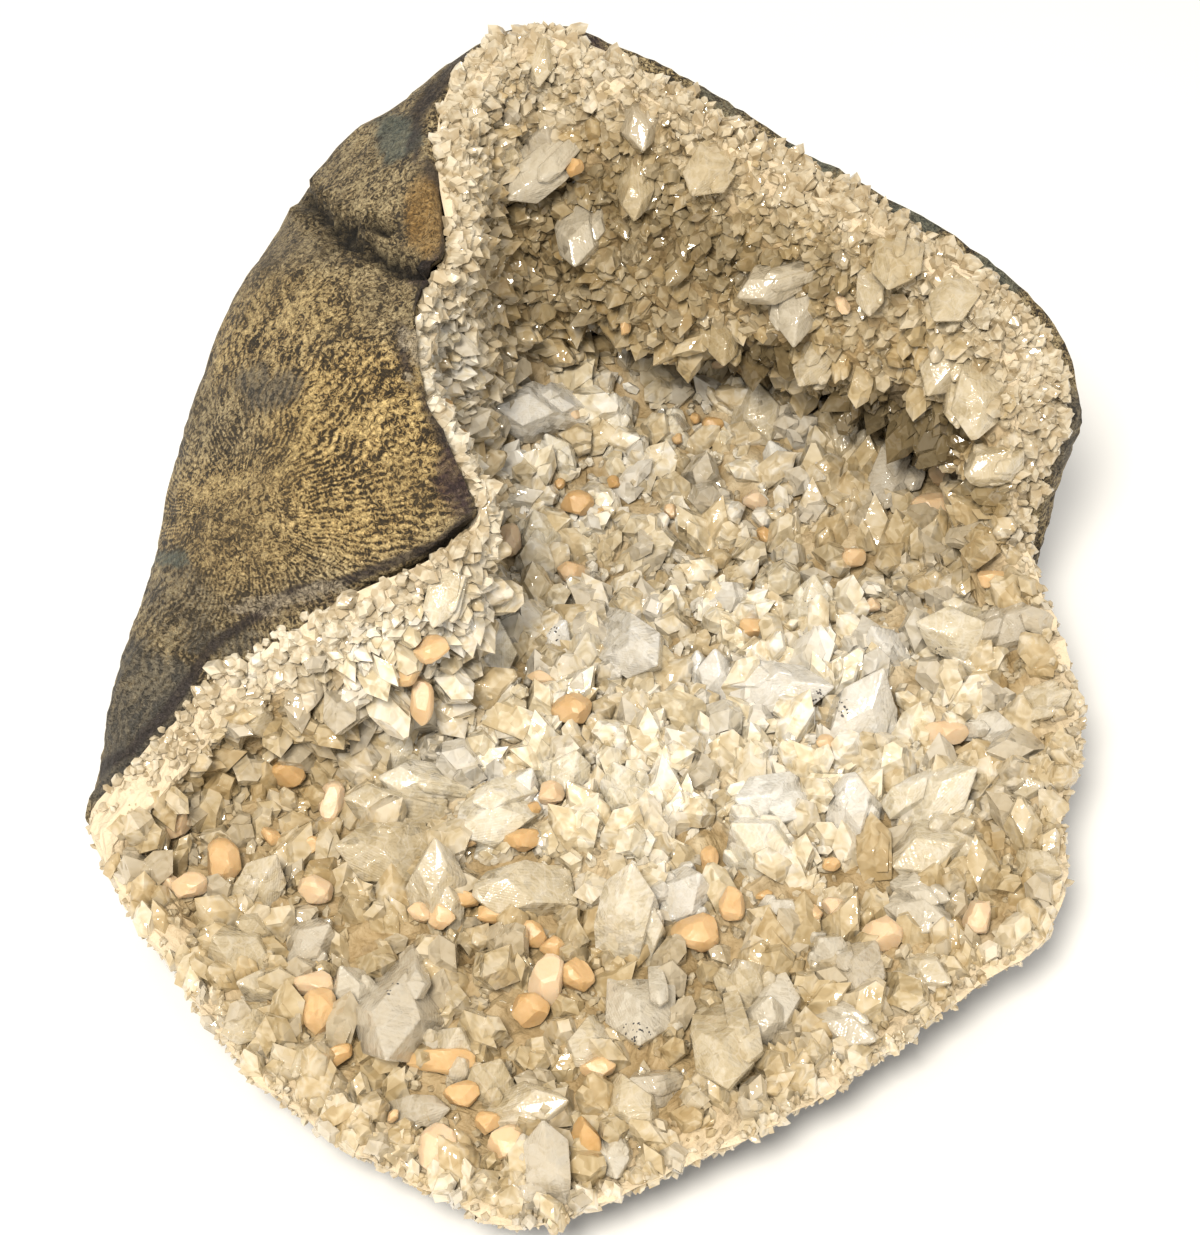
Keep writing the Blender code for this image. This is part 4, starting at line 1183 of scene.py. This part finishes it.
class GEODE_OT_lining(bpy.types.Operator):
    """Build the chalky bed that the crystals stand on"""

    bl_idname = "geode.lining"
    bl_label = "Crust lining"

    def execute(self, context):
        loops = front_loops(LINING_STEPS_ROUND, LINING_STEPS, 8)
        contact = contact_loops(LINING_STEPS_ROUND)
        back = moved_loops(contact, normals_of(contact), GAP + 0.4)
        count = len(loops[0])
        rows = [back[-1][:1]] + back[1:-1][::-1] + loops[:-1] + [loops[-1][:1]]
        corners, faces, starts = [], [], []
        for row in rows:
            starts.append(len(corners))
            corners += [tuple(point * MM) for point in row]
        for upper, lower, first, second in zip(starts, starts[1:], rows, rows[1:]):
            for index in range(count):
                after = (index + 1) % count
                if len(first) == 1:
                    faces.append((upper, lower + index, lower + after))
                elif len(second) == 1:
                    faces.append((upper + index, lower, upper + after))
                else:
                    faces.append((upper + index, lower + index, lower + after, upper + after))
        obj = new_object("crust_lining", corners, faces)
        outward_faces(obj)
        points, squares = read_points(obj.data), read_points(obj.data, "normal")
        front = starts[len(back) - 1]
        share = np.zeros(len(points))
        share[front:] = 1
        level = np.zeros(len(points))
        level[front:-1] = np.repeat(np.arange(len(loops) - 1), count)
        level[-1] = len(loops)
        edge = 1 - soft(level, 6, 20)
        lumps = noise_of(points, 7, 5, 4) * 0.0016 + np.abs(noise_of(points, 3, 6, 2)) * 0.0012
        swell = relief(points / MM)
        lumps += swell * MM * (1 - edge * 0.85)
        moved = points + squares * (lumps * share * soft(level, 0, 2.5))[:, None]
        low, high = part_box("crystal_crust")
        moved = np.clip(moved, np.array(low), np.array(high))
        obj.data.vertices.foreach_set("co", moved.astype(np.float32).ravel())
        obj.data.update()
        write_attribute(obj.data, "rim", 1 - soft(level, 8, 22))
        # Painted shade of the lining: from the crevices and in the low places between the knobs, less near
        # the rim
        hollows = np.maximum(painted_shade_at(in_picture(points)), 0.8 * (1 - soft(swell, 0.2, 1.8)))
        write_attribute(obj.data, "shade", hollows * share * (1 - 0.6 * edge))
        finish(obj, lining_material(), "crystal_crust")
        return {"FINISHED"}


class GEODE_OT_large_crystals(bpy.types.Operator):
    """Build the large apophyllites where the photograph has them"""

    bl_idname = "geode.large_crystals"
    bl_label = "Large apophyllites"

    def execute(self, context):
        hollow = Hollow(hollow_loops(STEPS_ROUND, STEPS_HOLLOW))
        chance = random.Random(11)
        clusters = {"clear": Cluster(), "milky": Cluster(), "white": Cluster()}
        for index, (across, down, width, length, heading, lean) in enumerate(APOPHYLLITES):
            span = length * MM_PER_POINT
            place, direction = standing_place(hollow.surface, across, down, heading, lean, span)
            slope = chance.uniform(*TIP_STEEPNESS)
            turn = chance.uniform(0, math.pi / 2)
            if place is None:
                continue
            half = width * MM_PER_POINT / 2
            place = place + direction * float(relief(np.array([place]))[0]) * 0.6
            flat = chance.uniform(0.15, 0.5) if index in BLUNT else 0
            kind = "white" if index in WHITE else "clear" if index in CLEAR else "milky"
            tone = chance.uniform(0.2, 0.85)
            # Painted shade for this crystal, from where it is seen
            shade = 0.8 * float(painted_shade_at(np.array([(across, down)]))[0])
            slopes = (slope * 0.8, slope * 0.8)
            clusters[kind].grow(place, direction, turn, half, half * chance.uniform(0.85, 1.0), span,
                                ROOT_LENGTH, slopes, flat, tone, shade)
            for _ in range(chance.randint(2, 4)):
                aside = off_direction(direction, 90, chance)
                aside = (aside - direction * aside.dot(direction)).normalized()
                aside = aside * half * chance.uniform(0.7, 1.05)
                part = half * chance.uniform(0.25, 0.55)
                clusters[kind].grow(place + aside, off_direction(direction, 9, chance), turn, part, part,
                                    span * chance.uniform(0.45, 0.8), ROOT_LENGTH, slopes, 0,
                                    min(1, max(0, tone + chance.uniform(-0.2, 0.15))), shade)
        for kind, cluster in clusters.items():
            obj = cluster.made(f"apophyllite_large_{kind}")
            rounded(obj, 2, 18)
            material = crystal_material(f"apophyllite_{kind}", *CRYSTAL_LOOKS[f"large_{kind}"])
            finish(obj, material)
        return {"FINISHED"}


def inside_crystal(place, root, direction, half, span):
    """Whether a small crystal rooted here would stand inside a large one."""
    if root is None:
        return False
    along = (place - root).dot(direction)
    return -2 < along < span * 0.8 and (place - root - direction * along).length < half * 0.8


class GEODE_OT_small_crystals(bpy.types.Operator):
    """Grow the smaller apophyllites and the druse over the hollow's face"""

    bl_idname = "geode.small_crystals"
    bl_label = "Smaller apophyllites"

    def execute(self, context):
        sizes = context.scene.geode_sizes
        hollow = Hollow(front_loops(STEPS_ROUND * 2, (4, 4, 4, 4, 2), 2))
        chance = random.Random(23)
        fillers = {"milky": Cluster(), "clear": Cluster(), "cream": Cluster()}
        balls = [(seen_on(hollow.surface, row[0], row[1])[0], row[2] * MM_PER_POINT / 2)
                 for row in STILBITES + SMALL_STILBITES]
        large = [(*standing_place(hollow.surface, row[0], row[1], row[4], row[5], row[3] * MM_PER_POINT),
                  row[2] * MM_PER_POINT / 2, row[3] * MM_PER_POINT) for row in APOPHYLLITES]
        # Each place comes with its painted shade, which the crystals grown there carry
        for place, square, edge, shade in hollow.scattered(sizes.filler_count, chance):
            if any(inside_crystal(place, *crystal) for crystal in large):
                continue
            low_edge = soft(in_picture(np.array([place]) * MM)[:, 1], 560, 640)[0]
            by_ball = any(middle and (place - middle).length < reach + 1.5 for middle, reach in balls)
            if edge > 0.99 + low_edge * 0.005 or by_ball:
                continue
            high = soft(np.array([place.z]), 58, 90)[0]
            width = sizes.filler_width / MM * (0.45 + 1.15 * chance.random() ** 1.3)
            width *= (1 - 0.4 * high) * (1 - 0.55 * edge)
            axis = (off_direction(square, 50, chance) + Vector((0, 0.1, 0.9)) * edge * 0.8).normalized()
            turn = chance.uniform(0, math.tau)
            kind = chance.choices(("milky", "clear", "cream"), (5, 2, 3))[0]
            tone = chance.random()
            for part in range(chance.choice((1, 2, 2, 3))):
                half = width / 2 * (1 if part == 0 else chance.uniform(0.35, 0.7))
                aside = off_direction(axis, 90, chance) * (0 if part == 0 else width * 0.5)
                slope = chance.uniform(1.1, 1.55)
                fillers[kind].grow(place + aside, off_direction(axis, 0 if part == 0 else 14, chance), turn,
                                   half, half * chance.uniform(0.75, 1), half * chance.uniform(2.0, 3.8),
                                   2.5, (slope, slope),
                                   0 if chance.random() < 0.7 else chance.uniform(0.2, 0.7),
                                   min(1, max(0, tone + chance.uniform(-0.15, 0.15))), shade)
        fillers["roof"] = Cluster()
        for place, square, edge, shade in hollow.scattered(sizes.filler_count * 2, chance):
            width = sizes.filler_width / MM * chance.uniform(0.36, 0.85) * (1 - 0.4 * edge)
            if place.z < chance.uniform(45, 75):
                continue
            axis = off_direction(square, 55, chance)
            fillers["roof"].grow(place, axis, chance.uniform(0, math.tau), width / 2,
                                 width / 2 * chance.uniform(0.7, 1), width * chance.uniform(0.9, 1.5),
                                 1.5, (1.3, 1.3), 0 if chance.random() < 0.6 else 0.5,
                                 chance.random() * (1 - 0.5 * edge), shade)
        druse = Cluster()
        for place, square, edge, shade in hollow.scattered(sizes.druse_count, chance):
            high = soft(np.array([place.z]), 45, 70)[0]
            width = sizes.druse_width / MM * (0.55 + chance.random())
            width *= 1 + edge * (0.6 * high - 0.25 * (1 - high))
            axis = off_direction(square, 60, chance)
            druse.grow(place, axis, chance.uniform(0, math.tau), width / 2, width / 2,
                       width * chance.uniform(0.9, 1.7) + 0.6, 0.8, (1.1, 1.1), 0,
                       chance.random() * (1 - 0.7 * edge), shade)
        for kind, cluster in fillers.items():
            obj = cluster.made(f"apophyllite_small_{kind}")
            if kind == "cream":
                rounded(obj, 1, 32)
            finish(obj, crystal_material(obj.name, *CRYSTAL_LOOKS[f"small_{kind}"]))
        finish(druse.made("druse"), crystal_material("druse_cream", *CRYSTAL_LOOKS["druse"]))
        return {"FINISHED"}


class GEODE_OT_stilbites(bpy.types.Operator):
    """Build the apricot stilbite balls"""

    bl_idname = "geode.stilbites"
    bl_label = "Stilbite balls"

    def execute(self, context):
        hollow = Hollow(hollow_loops(STEPS_ROUND, STEPS_HOLLOW))
        chance = random.Random(5)
        balls = Cluster()
        bpy.ops.mesh.primitive_ico_sphere_add(subdivisions=3, radius=0.5)
        template = context.active_object
        round_corners = read_points(template.data)
        faces = [tuple(polygon.vertices) for polygon in template.data.polygons]
        bpy.data.objects.remove(template)
        small = tuple((*row, chance.uniform(0, 180)) for row in SMALL_STILBITES)
        for across, down, width, length, heading in STILBITES + small:
            place, square = seen_on(hollow.surface, across, down)
            if place is None:
                continue
            turn = math.radians(heading)
            along = VIEW_RIGHT * math.cos(turn) + VIEW_UP * math.sin(turn)
            up = (square - along * square.dot(along)).normalized()
            size = np.array([length, width, width]) * MM_PER_POINT * 1.12
            corners = sheaf_of(round_corners, chance) * size
            raised = float(relief(np.array([place]))[0]) + (2.4 if width < 26 else 1.6)
            middle = place + square * (width * MM_PER_POINT * (0.5 - BALL_SINK) + raised)
            turned = Matrix((along, up.cross(along), up)).transposed()
            balls.add(corners @ np.array(turned).T + np.array(middle), faces, chance.random())
        obj = balls.made("stilbite_balls")
        activate(obj)
        bpy.ops.object.shade_smooth_by_angle(angle=math.radians(12))
        finish(obj, stilbite_material(colours_of(context.scene)))
        return {"FINISHED"}


def sheaf_of(corners, chance):
    """A ball of blades: a round body with flat facets and fine ribs running to its ends."""
    turn = np.arctan2(corners[:, 1], corners[:, 2])
    shape = corners.copy()
    for _ in range(16):
        facing = np.array([chance.gauss(0, 1), chance.gauss(0, 1), chance.gauss(0, 1)])
        facing /= np.linalg.norm(facing)
        over = shape @ facing - chance.uniform(0.34, 0.43)
        shape -= np.clip(over, 0, None)[:, None] * facing
    ribs = 0.035 * np.sin(turn * chance.choice((14, 17, 20)) + chance.uniform(0, 6))
    shape[:, 1:] *= (1 + ribs * (1 - np.abs(corners[:, 0]) * 1.2))[:, None]
    return shape


class GEODE_OT_inclusions(bpy.types.Operator):
    """Set the dark specks just inside the faces of a few crystals"""

    bl_idname = "geode.inclusions"
    bl_label = "Dark inclusions"

    def execute(self, context):
        context.view_layer.update()
        graph = context.evaluated_depsgraph_get()
        surfaces = [BVHTree.FromObject(bpy.data.objects[f"apophyllite_large_{kind}"], graph)
                    for kind in ("clear", "milky", "white")]
        chance = random.Random(3)
        specks = Cluster()
        for across, down, spread, count in SPECKS:
            for _ in range(count):
                turn, reach = chance.uniform(0, math.tau), spread * math.sqrt(chance.random())
                aim = seen_at(across + math.cos(turn) * reach, down + math.sin(turn) * reach, 0)
                ray = (aim - EYE).normalized()
                hits = [found for found in (tree.ray_cast(EYE * MM, ray) for tree in surfaces) if found[0]]
                if not hits:
                    continue
                place, square = min(hits, key=lambda found: found[3])[:2]
                size = chance.uniform(0.12, 0.38)
                corners, faces = prism_corners(size, size * 0.7, 0.12, 0.1, 0.3, 0.3, 0)
                turned = square.to_track_quat("Z", "Y").to_matrix() @ Matrix.Rotation(turn, 3, "Z")
                specks.add(corners @ np.array(turned).T + np.array(place / MM), faces, 0)
        material = plain_material("inclusion_dark", 900, 3, 0.5, (0.35, (0.02, 0.02, 0.025)),
                                  (0.7, (0.13, 0.12, 0.12)))
        finish(specks.made("dark_specks"), material)
        return {"FINISHED"}


class GEODE_OT_studio(bpy.types.Operator):
    """Set the white table, the soft light and the camera"""

    bl_idname = "geode.studio"
    bl_label = "Studio"

    def execute(self, context):
        scene = context.scene
        bpy.ops.object.select_all(action="DESELECT")
        bpy.ops.mesh.primitive_plane_add(size=8, location=(0, 0, -0.0004))
        table = context.active_object
        table.name = "table"
        table.data.materials.append(plain_material("table_white", 4, 4, 0.9, (0.3, (0.93, 0.93, 0.93)),
                                                   (0.7, (0.96, 0.96, 0.96))))
        table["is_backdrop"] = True
        for name, place, size, power, colour in LAMPS:
            data = bpy.data.lights.new(name, "AREA")
            data.shape = "DISK"
            data.size = size
            data.energy = power
            data.color = colour
            lamp = bpy.data.objects.new(name, data)
            lamp.location = place
            lamp.rotation_mode = "QUATERNION"
            lamp.rotation_quaternion = (Vector((0, 0, 0.05)) - Vector(place)).to_track_quat("-Z", "Y")
            scene.collection.objects.link(lamp)
        world = bpy.data.worlds.new("soft_white")
        world.use_nodes = True
        world.node_tree.nodes["Background"].inputs["Color"].default_value = (1, 0.965, 0.9, 1)
        world.node_tree.nodes["Background"].inputs["Strength"].default_value = WORLD_LIGHT
        scene.world = world
        scene.view_settings.view_transform = "Standard"
        scene.cycles.max_bounces = 3
        scene.cycles.diffuse_bounces = 1
        scene.cycles.glossy_bounces = 1
        scene.cycles.transmission_bounces = 2
        data = bpy.data.cameras.new("camera")
        data.sensor_fit = "AUTO"
        data.sensor_width = 36
        data.lens = 36 * VIEW_DISTANCE / (PICTURE_SIZE[1] * MM_PER_POINT)
        camera = bpy.data.objects.new("camera", data)
        camera.location = EYE * MM
        camera.rotation_mode = "QUATERNION"
        camera.rotation_quaternion = (-TO_EYE).to_track_quat("-Z", "Y")
        scene.collection.objects.link(camera)
        scene.camera = camera
        return {"FINISHED"}


class GEODE_PT_panel(bpy.types.Panel):
    """The geode's sizes, colours and pieces in the sidebar"""

    bl_idname = "GEODE_PT_panel"
    bl_label = "Apophyllite geode"
    bl_space_type = "VIEW_3D"
    bl_region_type = "UI"
    bl_category = "Geode"

    def draw(self, context):
        for settings in (context.scene.geode_sizes, context.scene.geode_colours):
            for name in settings.__annotations__:
                self.layout.prop(settings, name)
        for operator in OPERATORS:
            self.layout.operator(operator.bl_idname)


OPERATORS = (GEODE_OT_rind, GEODE_OT_lining, GEODE_OT_large_crystals, GEODE_OT_small_crystals,
             GEODE_OT_stilbites, GEODE_OT_inclusions, GEODE_OT_studio)
CLASSES = (GeodeSizes, GeodeColours, *OPERATORS, GEODE_PT_panel)


def register():
    for made in CLASSES:
        bpy.utils.register_class(made)
    bpy.types.Scene.geode_sizes = bpy.props.PointerProperty(type=GeodeSizes)
    bpy.types.Scene.geode_colours = bpy.props.PointerProperty(type=GeodeColours)


def unregister():
    del bpy.types.Scene.geode_colours
    del bpy.types.Scene.geode_sizes
    for made in reversed(CLASSES):
        bpy.utils.unregister_class(made)


def main():
    register()
    bpy.ops.geode.rind()
    bpy.ops.geode.lining()
    bpy.ops.geode.large_crystals()
    bpy.ops.geode.small_crystals()
    bpy.ops.geode.stilbites()
    bpy.ops.geode.inclusions()
    bpy.ops.geode.studio()
    bounds = {"cad": BOUNDS_AT_LOAD, "look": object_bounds()}
    ({key: [[float(number) for number in corner] for corner in value]
               for key, value in bounds.items()})


if __name__ == "__main__":
    main()
